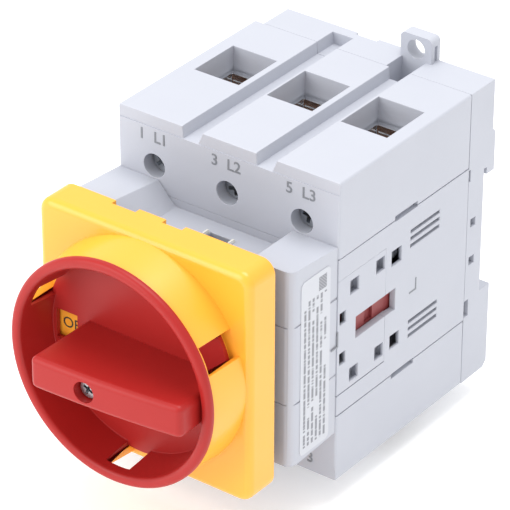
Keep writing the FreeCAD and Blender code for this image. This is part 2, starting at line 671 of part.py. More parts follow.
def din_latch():
    """The sliding latch that hooks the rail's lower edge."""
    flange = box(-LATCH_FLANGE_HALF, LATCH_FLANGE_HALF, RAIL_LIP_FRONT, -2.2, LATCH_BOTTOM, FOOT_TOP - 1.0)
    slab = box(-LATCH_HALF, LATCH_HALF, RAIL_LIP_FRONT, -0.4, LATCH_BOTTOM, LATCH_NOSE)
    ramp = prism([(-LATCH_HALF - 1, -0.4, LATCH_NOSE - 2.6), (-LATCH_HALF - 1, -0.4, LATCH_NOSE),
                  (-LATCH_HALF - 1, -2.6, LATCH_NOSE)], V(2 * LATCH_HALF + 2, 0, 0))
    spring_lug = box(-2.4, 2.4, -7.4, RAIL_LIP_FRONT + 0.5, -24.0, -21.2)
    latch = joined([flange, slab, spring_lug])
    eye = box(-3.0, 3.0, -2.4, 0, LATCH_BOTTOM + 2.4, LATCH_BOTTOM + 5.2)
    return less(latch, [ramp, eye])


def din_latch_spring():
    """The spring that pushes the latch up against the rail."""
    return coil(1.5, 0.3, 13.8, 7, V(0, -5.6, -37.9), V(0, 0, 1))


# ---------------------------------------------------------------- front plate
def padlock_slot(angle, radius_in, radius_out, y0, y1):
    """A window cut outwards through the ring or the bowl at one angle."""
    half = PADLOCK_WIDTH / 2
    return turned(box(radius_in, radius_out, y0, y1, -half, half), angle)


def front_plate():
    """The square plate with its lockable ring and four screw bosses."""
    plate = box(-PLATE_HALF, PLATE_HALF, PLATE_FRONT, PLATE_BACK, -PLATE_HALF, PLATE_HALF)
    plate = rounded(plate, PLATE_CORNER_R, lambda b: b.YLength > PLATE_THICKNESS - 1)
    plate = rounded(plate, PLATE_EDGE_R, lambda b: on_plane_y(b, PLATE_FRONT))
    inner = PLATE_HALF - PLATE_WALL
    hollow = box(-inner, inner, PLATE_FRONT + PLATE_SKIN, PLATE_BACK + 1, -inner, inner)
    hollow = rounded(hollow, 3.0, lambda b: b.YLength > 4)
    ring = cone(RING_FRONT_R, RING_BASE_R, RING_FRONT, PLATE_FRONT + 0.5)
    ring = rounded(ring, 0.5, lambda b: on_plane_y(b, RING_FRONT))
    ring = ring.cut(rod(0, 0, RING_INNER_R, RING_FRONT - 1, PLATE_FRONT))
    hub = rod(0, 0, HUB_BORE_R + 3.0, PLATE_FRONT + 0.5, PLATE_BACK)
    bosses = [rod(x, z, 4.4, PLATE_FRONT + 0.5, PLATE_BACK) for x, z in plate_screw_places()]
    body = joined([less(plate, [hollow]), ring, hub] + bosses)
    tools = [rod(0, 0, HUB_BORE_R, PLATE_FRONT - 5, PLATE_BACK + 1)]
    tools.append(rod(0, 0, HUB_BORE_R + 1.2, PLATE_BACK - 3.2, PLATE_BACK - 1.2))
    for x, z in plate_screw_places():
        tools.append(rod(x, z, PLATE_SCREW_R + 0.1, PLATE_FRONT - 1, PLATE_BACK + 1))
        tools.append(rod(x, z, 3.9, PLATE_FRONT - 1, PLATE_FRONT + 2.6))
    for angle in WINDOW_ANGLES:
        tools.append(padlock_slot(angle, RING_INNER_R - 1, RING_BASE_R + 1, PADLOCK_FRONT, PLATE_FRONT))
    for x0, x1 in ((-16.4, -8.9), (-0.2, 6.0)):
        tools.append(box(x0, x1, PLATE_BACK - 1.8, PLATE_BACK + 1, PLATE_HALF - 2.8, PLATE_HALF + 1))
    return less(body, tools)


def dial_disc():
    """The flat legend disc that shows through the handle's window."""
    disc = rod(0, 0, DIAL_R, DIAL_FRONT, PLATE_FRONT)
    return disc.cut(rod(0, 0, HUB_BORE_R, DIAL_FRONT - 1, PLATE_FRONT + 1))


def shaft_seal():
    """The ring seal round the handle's hub, in the plate's bore."""
    centre = V(0, PLATE_BACK - 2.2, 0)
    return Part.makeTorus(HUB_BORE_R + 0.6, 0.58, centre, V(0, 1, 0))


def panel_gasket():
    """The flat seal in the plate's hollow back, against the panel's face."""
    outer = PLATE_HALF - PLATE_WALL - 0.2
    sheet = box(-outer, outer, PLATE_BACK - 1.6, PLATE_BACK, -outer, outer)
    sheet = rounded(sheet, 2.8, lambda b: near(b.YLength, 1.6))
    tools = [rod(0, 0, HUB_BORE_R + 3.2, PLATE_BACK - 3, PLATE_BACK + 1)]
    tools += [rod(x, z, 4.6, PLATE_BACK - 3, PLATE_BACK + 1) for x, z in plate_screw_places()]
    return less(sheet, tools)


def long_screw(x, z, shank_r, head_r, y_head, head_length, y_tip):
    """A cross-head screw along Y, its head to the front."""
    head = rod(0, 0, head_r, y_head, y_head + head_length)
    shank = rod(0, 0, shank_r, y_head + head_length, y_tip)
    screw = joined([head, shank])
    screw = less(screw, [cross_recess(head_r * 0.62, head_length * 0.6, head_r * 0.3, y_head)])
    return moved(screw, x=x, z=z)


def plate_screws():
    """The four screws through plate and panel into the front block."""
    head_front = PLATE_FRONT + 0.2
    return Part.makeCompound([
        long_screw(x, z, PLATE_SCREW_R, 3.7, head_front, 2.4, -84.2) for x, z in plate_screw_places()])


def housing_screws():
    """The four long screws that hold the front stack together, their heads behind."""
    head_rear = STACK_SCREW_SEAT + STACK_SCREW_HEAD
    screw = long_screw(0, 0, STACK_SCREW_R, STACK_SCREW_HEAD_R, 0, STACK_SCREW_HEAD,
                       head_rear - STACK_SCREW_TIP)
    screw.rotate(V(0, 0, 0), V(0, 0, 1), 180)
    return Part.makeCompound([moved(screw, x=x, y=head_rear, z=z) for x, z in housing_screw_places()])


def base_screws():
    """The four screws from the rear through the base."""
    screw = long_screw(0, 0, STACK_SCREW_R, BASE_SCREW_HEAD_R, 0, BASE_SCREW_HEAD, BASE_SCREW_LENGTH)
    screw.rotate(V(0, 0, 0), V(0, 0, 1), 180)
    return Part.makeCompound([moved(screw, x=x, y=BASE_SCREW_FACE, z=z) for x, z in base_screw_places()])


def rating_label():
    """The blank rating label on the front block's right side."""
    label = box(BLOCK_HALF, BLOCK_HALF + LABEL_THICKNESS, LABEL_FRONT, LABEL_REAR, LABEL_BOTTOM, LABEL_TOP)
    return rounded(label, LABEL_CORNER_R, lambda b: near(b.XLength, LABEL_THICKNESS))


# ---------------------------------------------------------------- handle and drive
def grip():
    """The finger bar across the bowl: arched to the front and drafted to its base."""
    back = BOWL_FLOOR_BACK
    front = Part.Arc(V(GRIP_LEFT, GRIP_FRONT_LEFT, 0), V(4, GRIP_FRONT_MIDDLE, 0),
                     V(GRIP_RIGHT, GRIP_FRONT_RIGHT, 0)).toShape()
    sides = Part.makePolygon([V(GRIP_RIGHT, GRIP_FRONT_RIGHT, 0), V(29.0, back, 0),
                              V(GRIP_LEFT, back, 0), V(GRIP_LEFT, GRIP_FRONT_LEFT, 0)])
    outline = Part.Wire([front] + sides.Edges)
    bar = Part.Face(outline).extrude(V(0, 0, 2 * GRIP_HALF_FRONT))
    bar.translate(V(0, 0, -GRIP_HALF_FRONT))
    draft = [(-40, GRIP_FRONT_LEFT - 1, GRIP_HALF_FRONT), (-40, back, GRIP_HALF_BASE),
             (-40, back, -GRIP_HALF_BASE), (-40, GRIP_FRONT_LEFT - 1, -GRIP_HALF_FRONT)]
    bar = bar.common(prism(draft, V(80, 0, 0)))
    front_edges = rounded(bar, GRIP_ROUND, lambda b: b.YMax < RIM_FRONT - 5 or
                          (near(b.XMin, GRIP_LEFT) and near(b.XMax, GRIP_LEFT) and b.YLength > 5))
    return front_edges


def rotary_handle():
    """The red handle: rim, bowl, grip and hub in one moulding."""
    lip = rod(0, 0, RIM_OUTER_R, RIM_FRONT, RIM_BACK)
    lip = rounded(lip, RIM_ROUND, lambda b: on_plane_y(b, RIM_FRONT) or on_plane_y(b, RIM_BACK))
    wall = cone(BOWL_OUTER_R, BOWL_OUTER_BACK_R, RIM_BACK - 0.5, BOWL_FLOOR_BACK)
    bowl = joined([lip, wall])
    hollow = cone(BOWL_MOUTH_R, BOWL_FLOOR_R, RIM_FRONT, BOWL_FLOOR_FRONT)
    bowl = bowl.cut(hollow)
    bowl = rounded(bowl, MOUTH_ROUND, lambda b: on_plane_y(b, RIM_FRONT) and near(b.XMax, BOWL_MOUTH_R))
    inside = cone(BOWL_OUTER_R - 0.3, BOWL_OUTER_BACK_R - 0.3, GRIP_FRONT_LEFT - 1, BOWL_FLOOR_BACK)
    hub = rod(0, 0, HUB_R, BOWL_FLOOR_BACK - 0.5, PLATE_BACK - 0.4)
    body = joined([bowl, grip().common(inside), hub])
    tools = [padlock_slot(angle, PADLOCK_BOWL_R, BOWL_OUTER_R + 1, PADLOCK_FRONT, BOWL_FLOOR_FRONT)
             for angle in WINDOW_ANGLES]
    tools.append(box(LEGEND_WINDOW_LEFT, LEGEND_WINDOW_RIGHT, BOWL_FLOOR_FRONT - 1, BOWL_FLOOR_BACK + 1,
                     LEGEND_WINDOW_BOTTOM, LEGEND_WINDOW_TOP))
    socket = SHAFT_HALF + 0.02
    tools.append(box(-socket, socket, SHAFT_FRONT, PLATE_BACK + 1, -socket, socket))
    tools.append(rod(0, 0, HANDLE_SCREW_R + 0.1, GRIP_FRONT_LEFT, SHAFT_FRONT + 1))
    tools.append(rod(0, 0, HANDLE_SCREW_HEAD_R + 0.2, GRIP_FRONT_LEFT - 1,
                     HANDLE_SCREW_FACE + HANDLE_SCREW_HEAD))
    return less(body, tools)


def handle_screw():
    """The screw that holds the handle on the end of the shaft."""
    return long_screw(0, 0, HANDLE_SCREW_R, HANDLE_SCREW_HEAD_R, HANDLE_SCREW_FACE, HANDLE_SCREW_HEAD,
                      SHAFT_FRONT + 8)


def drive_shaft():
    """The square shaft from the handle to the cam."""
    shaft = box(-SHAFT_HALF, SHAFT_HALF, SHAFT_FRONT + 0.1, SHAFT_REAR, -SHAFT_HALF, SHAFT_HALF)
    shaft = shaft.makeChamfer(0.5, [e for e in shaft.Edges if e.BoundBox.YLength > 10])
    return shaft.cut(rod(0, 0, HANDLE_SCREW_R, SHAFT_FRONT - 1, SHAFT_FRONT + 9))


def square_hole(y0, y1):
    """The square passage for the shaft."""
    half = SHAFT_HALF + 0.02
    return box(-half, half, y0 - 1, y1 + 1, -half, half)


def shaft_bush():
    """The round bush that carries the square shaft in the front block's bore."""
    y0, y1 = FRONT_BLOCK_FRONT + 0.2, FRONT_BLOCK_FRONT + 4.0
    collar = rod(0, 0, BUSH_R + 1.6, y1 - 0.8, y1 + 0.8)
    return less(joined([rod(0, 0, BUSH_R, y0, y1), collar]), [square_hole(y0, y1 + 1)])


def index_wheel():
    """The rounded square that the leaf springs press on, one flat for each quarter turn."""
    flats = box(-WHEEL_FLAT, WHEEL_FLAT, WHEEL_FRONT, WHEEL_REAR, -WHEEL_FLAT, WHEEL_FLAT)
    wheel = flats.common(rod(0, 0, WHEEL_CORNER_R, WHEEL_FRONT, WHEEL_REAR))
    return wheel.cut(square_hole(WHEEL_FRONT, WHEEL_REAR))


def index_springs():
    """Two leaf springs, one above and one below the indexing wheel."""
    strip = box(-10.4, 10.4, WHEEL_FRONT + 0.4, WHEEL_REAR - 0.4, WHEEL_FLAT + 0.05, WHEEL_FLAT + 0.55)
    ends = [box(s * 9.9, s * 10.4, WHEEL_FRONT + 0.4, WHEEL_REAR - 0.4, WHEEL_FLAT + 0.05, 11.0)
            for s in (-1, 1)]
    leaf = joined([strip] + ends)
    return Part.makeCompound([leaf, flipped(leaf)])


def cam_pin(angle=0.0, y_shift=0.0, grow=0.0):
    """The cam's cross pin at a turn and a shift, grown for the slot that it runs in."""
    radius = CAM_PIN_R + grow
    reach = CAM_PIN_REACH + 2 * grow
    pin = Part.makeCylinder(radius, 2 * reach, V(-reach, CAM_PIN_Y + y_shift, 0), V(1, 0, 0))
    return turned(pin, -angle)


def drive_cam():
    """The drum on the shaft, with the cross pin that drives the contact carrier."""
    drum = rod(0, 0, CAM_R, CAM_FRONT, CAM_REAR)
    return less(joined([drum, cam_pin()]), [square_hole(CAM_FRONT, SHAFT_REAR)])


def contact_carrier():
    """The red carrier: a slotted sleeve on the cam, a cross beam and a holder at each pole."""
    sleeve = rod(0, 0, SLEEVE_R, CAM_FRONT - 0.6, BEAM_REAR)
    beam = box(-BEAM_HALF, BEAM_HALF, BEAM_REAR - 5.0, BEAM_REAR, -BEAM_HALF_HEIGHT, BEAM_HALF_HEIGHT)
    holders = [box(x - HOLDER_HALF, x + HOLDER_HALF, BEAM_REAR - 0.5, HOLDER_REAR,
                   -BEAM_HALF_HEIGHT, BEAM_HALF_HEIGHT) for x in POLES]
    flag = box(FLAG_FACE - 2.0, FLAG_FACE, FLAG_FRONT, FLAG_REAR, FLAG_BOTTOM, FLAG_TOP)
    body = joined([sleeve, beam, flag] + holders)
    tools = [rod(0, 0, SLEEVE_BORE_R, CAM_FRONT - 2, CAM_REAR + 0.3)]
    steps = 12
    for step in range(steps + 1):
        share = step / steps
        tools.append(cam_pin(HANDLE_TURN * share, -CONTACT_TRAVEL * share, grow=0.3))
    for x in POLES:
        tools.append(box(x - BRIDGE_HALF_WIDTH - 0.2, x + BRIDGE_HALF_WIDTH + 0.2, BEAM_REAR, bridge_rear(),
                         -BEAM_HALF_HEIGHT - 1, BEAM_HALF_HEIGHT + 1))
    tools.append(box(FLAG_FACE - 1.0, FLAG_FACE + 1, FLAG_NOTCH_FRONT, FLAG_NOTCH_REAR,
                     FLAG_BOTTOM + 1, FLAG_TOP - 1))
    return less(body, tools)


def bridge_rear():
    """Where the bridge's flat rear face lies with the switch off."""
    return BAR_FRONT - PAD_THICKNESS - CONTACT_GAP - CONTACT_TRAVEL - MOVING_PAD


def contact_bridge(x):
    """One moving contact bar with a pad at each end."""
    rear = bridge_rear()
    bar = box(x - BRIDGE_HALF_WIDTH, x + BRIDGE_HALF_WIDTH, rear - BRIDGE_THICKNESS, rear,
              -BRIDGE_HALF_LENGTH, BRIDGE_HALF_LENGTH)
    pads = [box(x - 2.6, x + 2.6, rear, rear + MOVING_PAD, s * 8.2, s * 12.8) for s in (-1, 1)]
    return joined([bar] + pads)


def contact_springs():
    """The spring in front of each bridge."""
    length = bridge_rear() - BRIDGE_THICKNESS - BEAM_REAR - FIT_GAP
    return Part.makeCompound([
        coil(2.2, 0.35, length, 3, V(x, BEAM_REAR + FIT_GAP / 2, 0), V(0, 1, 0)) for x in POLES])


# ---------------------------------------------------------------- all nodes
def all_nodes():
    """Every node's name and solid."""
    nodes = {
        "front_plate": front_plate(),
        "dial_disc": dial_disc(),
        "shaft_seal": shaft_seal(),
        "panel_gasket": panel_gasket(),
        "plate_screws": plate_screws(),
        "front_housing": front_housing(),
        "index_springs": index_springs(),
        "mechanism_housing": mechanism_housing(),
        "contact_housing": contact_housing(),
        "housing_screws": housing_screws(),
        "base_screws": base_screws(),
        "upper_terminal_block": terminal_block(UPPER_SEAM),
        "lower_terminal_block": flipped(terminal_block(-LOWER_SEAM)),
        "rear_base": rear_base(),
        "rating_label": rating_label(),
        "arc_plates_line": arc_stacks(1),
        "arc_plates_load": arc_stacks(-1),
        "rotary_handle": rotary_handle(),
        "handle_screw": handle_screw(),
        "drive_shaft": drive_shaft(),
        "shaft_bush": shaft_bush(),
        "index_wheel": index_wheel(),
        "drive_cam": drive_cam(),
        "contact_carrier": contact_carrier(),
        "contact_springs": contact_springs(),
        "din_latch": din_latch(),
        "din_latch_spring": din_latch_spring(),
    }
    for number, x in enumerate(POLES, start=1):
        nodes[f"contact_bridge_{number}"] = contact_bridge(x)
        nodes[f"line_bar_{number}"] = current_bar(x)
        nodes[f"load_bar_{number}"] = flipped(current_bar(x))
        nodes[f"line_cage_{number}"] = clamp_cage(x)
        nodes[f"load_cage_{number}"] = flipped(clamp_cage(x))
        nodes[f"line_screw_{number}"] = terminal_screw(x)
        nodes[f"load_screw_{number}"] = flipped(terminal_screw(x))
    return nodes


os.makedirs("parts", exist_ok=True)
for name, shape in all_nodes().items():
    bounds = shape.BoundBox
    print(f"{name:24s} solids {len(shape.Solids):2d} valid {shape.isValid()} volume {shape.Volume:9.1f} "
          f"x {bounds.XMin:6.1f} {bounds.XMax:6.1f} y {bounds.YMin:7.1f} {bounds.YMax:7.1f} "
          f"z {bounds.ZMin:6.1f} {bounds.ZMax:6.1f}")
    shape.exportStep(f"parts/{name}.step")
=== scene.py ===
"""Rotary isolator switch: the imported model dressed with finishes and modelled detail.

The row frame holds throughout: +X towards pole 3, +Y towards the wall, +Z up, in metres. Sizes that
belong to one sub-assembly are fields of its class, in millimetres where a name ends in _mm.
"""

import json
import logging
import math
from contextlib import contextmanager
from dataclasses import dataclass, field
from enum import Enum
from typing import Callable, Iterator, Sequence, Union

import bmesh
import bpy
from mathutils import Matrix, Vector


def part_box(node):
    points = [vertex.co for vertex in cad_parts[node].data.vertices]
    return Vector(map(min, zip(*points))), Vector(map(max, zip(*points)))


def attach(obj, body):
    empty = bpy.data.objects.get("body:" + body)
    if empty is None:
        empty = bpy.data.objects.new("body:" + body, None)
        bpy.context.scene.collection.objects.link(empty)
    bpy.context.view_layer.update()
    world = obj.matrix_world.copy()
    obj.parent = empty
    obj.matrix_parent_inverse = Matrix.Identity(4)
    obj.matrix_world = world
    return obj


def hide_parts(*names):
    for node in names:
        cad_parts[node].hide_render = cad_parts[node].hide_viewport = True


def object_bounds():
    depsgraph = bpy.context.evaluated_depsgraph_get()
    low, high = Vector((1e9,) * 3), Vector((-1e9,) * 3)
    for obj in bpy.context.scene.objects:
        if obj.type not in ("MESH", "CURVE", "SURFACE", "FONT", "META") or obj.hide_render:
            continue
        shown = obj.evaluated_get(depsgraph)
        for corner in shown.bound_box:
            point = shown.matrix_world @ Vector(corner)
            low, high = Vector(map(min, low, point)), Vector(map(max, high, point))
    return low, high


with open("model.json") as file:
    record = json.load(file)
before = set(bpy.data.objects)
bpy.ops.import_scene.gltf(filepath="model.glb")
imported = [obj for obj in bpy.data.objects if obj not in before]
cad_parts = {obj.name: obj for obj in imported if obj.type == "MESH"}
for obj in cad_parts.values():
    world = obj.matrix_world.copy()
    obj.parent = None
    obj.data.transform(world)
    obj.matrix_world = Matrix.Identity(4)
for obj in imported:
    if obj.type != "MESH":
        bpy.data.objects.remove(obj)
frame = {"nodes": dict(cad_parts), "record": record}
CAD_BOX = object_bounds()

LOG = logging.getLogger("isolator")
MM = 0.001
POLE_COUNT = 3
Colour = tuple[float, float, float]
Point = tuple[float, float]
Number = Union[float, "Signal"]


# ------------------------------------------------------------------------------ shader building
class Signal:
    """One value inside a material: ordinary arithmetic on it adds the Math nodes."""

    def __init__(self, graph: "Graph", socket: bpy.types.NodeSocket) -> None:
        """Wraps a socket.

        Args:
            graph: The material's node graph.
            socket: The output socket that carries the value.
        """
        self.graph = graph
        self.socket = socket

    def _with(self, operation: str, left: Number, right: Number) -> "Signal":
        """Adds one Math node.

        Args:
            operation: The Math node's operation.
            left: The first operand.
            right: The second operand.

        Returns:
            The node's result.
        """
        made = self.graph.node("ShaderNodeMath", {"operation": operation}, {0: left, 1: right})
        return Signal(self.graph, made.outputs[0])

    def __add__(self, other: Number) -> "Signal":
        """Sum."""
        return self._with("ADD", self, other)

    def __radd__(self, other: Number) -> "Signal":
        """Sum with a plain number on the left."""
        return self._with("ADD", other, self)

    def __sub__(self, other: Number) -> "Signal":
        """Difference."""
        return self._with("SUBTRACT", self, other)

    def __rsub__(self, other: Number) -> "Signal":
        """Difference from a plain number on the left."""
        return self._with("SUBTRACT", other, self)

    def __mul__(self, other: Number) -> "Signal":
        """Product."""
        return self._with("MULTIPLY", self, other)

    def __rmul__(self, other: Number) -> "Signal":
        """Product with a plain number on the left."""
        return self._with("MULTIPLY", other, self)

    def __gt__(self, other: Number) -> "Signal":
        """One where this value is above the other, else zero."""
        return self._with("GREATER_THAN", self, other)

    def __lt__(self, other: Number) -> "Signal":
        """One where this value is below the other, else zero."""
        return self._with("LESS_THAN", self, other)

    def fraction(self) -> "Signal":
        """The part after the decimal point."""
        return self._with("FRACT", self, 0.0)

    def whole(self) -> "Signal":
        """The next whole number down."""
        return self._with("FLOOR", self, 0.0)


class Graph:
    """A material's node graph, with one method that adds any node."""

    def __init__(self, name: str) -> None:
        """Starts an empty material.

        Args:
            name: The material's name.
        """
        self.material = bpy.data.materials.new(name)
        self.material.use_nodes = True
        self.tree = self.material.node_tree
        self.tree.nodes.clear()
        self.place = self.node("ShaderNodeTexCoord").outputs["Object"]

    def node(self, kind: str, settings: dict | None = None, sockets: dict | None = None) -> bpy.types.Node:
        """Adds a node, sets it up and feeds it.

        Args:
            kind: The node's type.
            settings: Its own settings, such as an operation.
            sockets: Values or links, by the socket's name or number.

        Returns:
            The new node.
        """
        made = self.tree.nodes.new(kind)
        for name, value in (settings or {}).items():
            setattr(made, name, value)
        for key, value in (sockets or {}).items():
            target = made.inputs[key]
            if isinstance(value, Signal):
                value = value.socket
            if isinstance(value, bpy.types.NodeSocket):
                self.tree.links.new(value, target)
            elif isinstance(value, tuple) and len(value) == 3 and target.type == "RGBA":
                target.default_value = (*value, 1.0)
            else:
                target.default_value = value
        return made

    def noise(self, size: float, detail: float = 2.0, stretch: Sequence[float] = (1.0, 1.0, 1.0)) -> Signal:
        """Smooth noise on the piece's own coordinates.

        Args:
            size: The blotches' size in metres.
            detail: How many finer layers are added.
            stretch: How far each axis is drawn out, as a divisor of its coordinate.

        Returns:
            A value about one half, from zero to one.
        """
        scale = tuple(1.0 / value for value in stretch)
        mapped = self.node("ShaderNodeMapping", {}, {"Vector": self.place, "Scale": scale})
        made = self.node("ShaderNodeTexNoise", {},
                         {"Vector": mapped.outputs[0], "Scale": 1.0 / size, "Detail": detail})
        return Signal(self, made.outputs[0])

    def blend(self, share: Number, first: object, second: object) -> bpy.types.NodeSocket:
        """Mixes two colours.

        Args:
            share: How much of the second colour shows.
            first: A colour or a colour socket.
            second: A colour or a colour socket.

        Returns:
            The mixed colour's socket.
        """
        made = self.node("ShaderNodeMix", {"data_type": "RGBA"}, {"Factor": share, "A": first, "B": second})
        return made.outputs["Result"]

    def relief(self, height: Signal, depth: float, strength: float = 1.0,
               under: bpy.types.NodeSocket | None = None) -> bpy.types.NodeSocket:
        """Turns a height into a bumped normal.

        Args:
            height: The height, from zero to one.
            depth: What a height of one stands for, in metres.
            strength: The bump's strength.
            under: A normal that this relief lies on.

        Returns:
            The normal's socket.
        """
        sockets = {"Height": height, "Distance": depth, "Strength": strength}
        if under is not None:
            sockets["Normal"] = under
        return self.node("ShaderNodeBump", {}, sockets).outputs[0]

    def axes(self) -> tuple[Signal, Signal, Signal]:
        """The piece's own coordinates, one value for each axis."""
        split = self.node("ShaderNodeSeparateXYZ", {}, {0: self.place})
        return tuple(Signal(self, output) for output in split.outputs)

    def surface(self, sockets: dict) -> bpy.types.Material:
        """Ends the graph in a Principled surface.

        Args:
            sockets: Values or links for the shader.

        Returns:
            The finished material.
        """
        shader = self.node("ShaderNodeBsdfPrincipled", {}, sockets)
        self.node("ShaderNodeOutputMaterial", {}, {"Surface": shader.outputs[0]})
        return self.material


# ------------------------------------------------------------------------------ finishes
@dataclass(frozen=True)
class MouldedPlastic:
    """Injection-moulded plastic: a fine spark-eroded grain and a faint cloudiness."""

    name: str
    colour: Colour
    shade: Colour
    roughness: float
    grain_mm: float = 0.35
    grain_depth_mm: float = 0.012
    coat: float = 0.0
    sheen: float = 1.0

    def material(self) -> bpy.types.Material:
        """Builds the material."""
        graph = Graph(self.name)
        cloud = graph.noise(14.0 * MM, 3.0)
        speck = graph.noise(0.9 * MM, 2.0)
        grain = graph.noise(self.grain_mm * MM, 3.0)
        swell = graph.noise(9.0 * MM, 1.0)
        colour = graph.blend(cloud * 0.7 + speck * 0.3, self.colour, self.shade)
        rough = self.roughness + (cloud - 0.5) * 0.12 + (grain - 0.5) * 0.08
        flat = graph.relief(swell, 0.05 * MM, 0.35)
        normal = graph.relief(grain, self.grain_depth_mm * MM, 0.6, flat)
        sockets = {"Base Color": colour, "Roughness": rough, "Normal": normal, "IOR": 1.5}
        if self.coat:
            sockets |= {"Coat Weight": self.coat, "Coat Roughness": 0.12}
        if self.sheen != 1.0:
            sockets["Specular IOR Level"] = 0.5 * self.sheen
        return graph.surface(sockets)


@dataclass(frozen=True)
class PlatedMetal:
    """Plated or drawn metal: fine drawing lines along one axis and a mottled sheen."""

    name: str
    colour: Colour
    tarnish: Colour
    roughness: float
    drawn: tuple[float, float, float] = (1.0, 12.0, 1.0)

    def material(self) -> bpy.types.Material:
        """Builds the material."""
        graph = Graph(self.name)
        lines = graph.noise(0.12 * MM, 2.0, self.drawn)
        mottle = graph.noise(2.2 * MM, 3.0)
        colour = graph.blend(mottle * 0.8 + lines * 0.2, self.colour, self.tarnish)
        rough = self.roughness + (mottle - 0.5) * 0.16 + (lines - 0.5) * 0.1
        return graph.surface({"Base Color": colour, "Roughness": rough, "Metallic": 1.0,
                              "Normal": graph.relief(lines, 0.006 * MM, 0.6)})


@dataclass(frozen=True)
class SealRubber:
    """Dark moulded rubber with a chalky bloom."""

    name: str

    def material(self) -> bpy.types.Material:
        """Builds the material."""
        graph = Graph(self.name)
        bloom = graph.noise(3.0 * MM, 4.0)
        grain = graph.noise(0.2 * MM, 2.0)
        colour = graph.blend(bloom * 0.6, (0.018, 0.018, 0.02), (0.07, 0.07, 0.075))
        return graph.surface({"Base Color": colour, "Roughness": 0.62 + (bloom - 0.5) * 0.2,
                              "Normal": graph.relief(grain, 0.02 * MM, 0.5)})


@dataclass(frozen=True)
class InkAndPaintedShade:
    """Pad-printed ink, thin enough for the plastic's grain to show in it; also the darker grey laid on
    raised marks as painted shade.
    """

    name: str
    colour: Colour

    def material(self) -> bpy.types.Material:
        """Builds the material."""
        graph = Graph(self.name)
        grain = graph.noise(0.25 * MM, 3.0)
        lift = tuple(min(1.0, value * 1.6 + 0.02) for value in self.colour)
        return graph.surface({"Base Color": graph.blend(grain * 0.6, self.colour, lift),
                              "Roughness": 0.42 + (grain - 0.5) * 0.15,
                              "Normal": graph.relief(grain, 0.01 * MM, 0.4)})


@dataclass(frozen=True)
class PrintedFilm:
    """A white film label whose small print is only rows of dashes: it spells nothing."""

    name: str
    low: tuple[float, float]
    high: tuple[float, float]
    line_pitch_mm: float = 1.75
    margin_mm: float = 0.9
    paper: Colour = (0.54, 0.555, 0.60)
    ink: Colour = (0.17, 0.175, 0.20)

    def material(self) -> bpy.types.Material:
        """Builds the material: dashes in rows that run down the label, and one dark field above."""
        graph = Graph(self.name)
        _, depth, height = graph.axes()
        margin = self.margin_mm * MM
        row = (depth - (self.low[0] + margin)) * (1.0 / (self.line_pitch_mm * MM))
        band = (row.fraction() > 0.22) * (row.fraction() < 0.74)
        lane = row.whole()
        spot = graph.node("ShaderNodeCombineXYZ", {}, {0: lane * 7.3, 1: height * 1700.0, 2: 0.0})
        stroke = Signal(graph, graph.node("ShaderNodeTexNoise", {}, {
            "Vector": spot.outputs[0], "Scale": 1.0, "Detail": 1.0}).outputs[0])
        gap = graph.node("ShaderNodeCombineXYZ", {}, {0: lane * 3.1, 1: height * 150.0, 2: 4.0})
        word = Signal(graph, graph.node("ShaderNodeTexNoise", {}, {
            "Vector": gap.outputs[0], "Scale": 1.0, "Detail": 0.0}).outputs[0])
        field_foot = self.high[1] - 6.5 * MM
        inside = ((depth > self.low[0] + margin) * (depth < self.high[0] - margin)
                  * (height > self.low[1] + 2.0 * MM) * (height < field_foot))
        print_mask = band * (stroke > 0.42) * (word > 0.37) * inside
        centre = self.high[0] - 3.4 * MM
        badge = ((depth > centre - 1.7 * MM) * (depth < centre + 1.7 * MM)
                 * (height > field_foot + 0.9 * MM) * (height < self.high[1] - 1.5 * MM))
        hatch = ((depth + height) * (1.0 / (0.9 * MM))).fraction() > 0.3
        ink_mask = print_mask * 0.86 + badge * (0.55 + hatch * 0.35)
        fleck = graph.noise(0.5 * MM, 2.0)
        paper = graph.blend(fleck * 0.5, self.paper, tuple(value * 0.93 for value in self.paper))
        return graph.surface({"Base Color": graph.blend(ink_mask, paper, self.ink),
                              "Roughness": 0.33 + (fleck - 0.5) * 0.1 + print_mask * 0.12,
                              "Normal": graph.relief(fleck, 0.008 * MM, 0.4)})


class Finish(Enum):
    """Every finish on the switch, named by the record's material slots."""

    GREY = "grey_plastic"
    YELLOW = "yellow_plastic"
    RED = "red_plastic"
    CARRIER = "red_carrier"
    WHITE = "white_plastic"
    RUBBER = "black_rubber"
    ZINC = "zinc_steel"
    SPRING = "spring_steel"
    CLAMP = "plated_clamp"
    COPPER = "copper"
    FILM = "label_film"


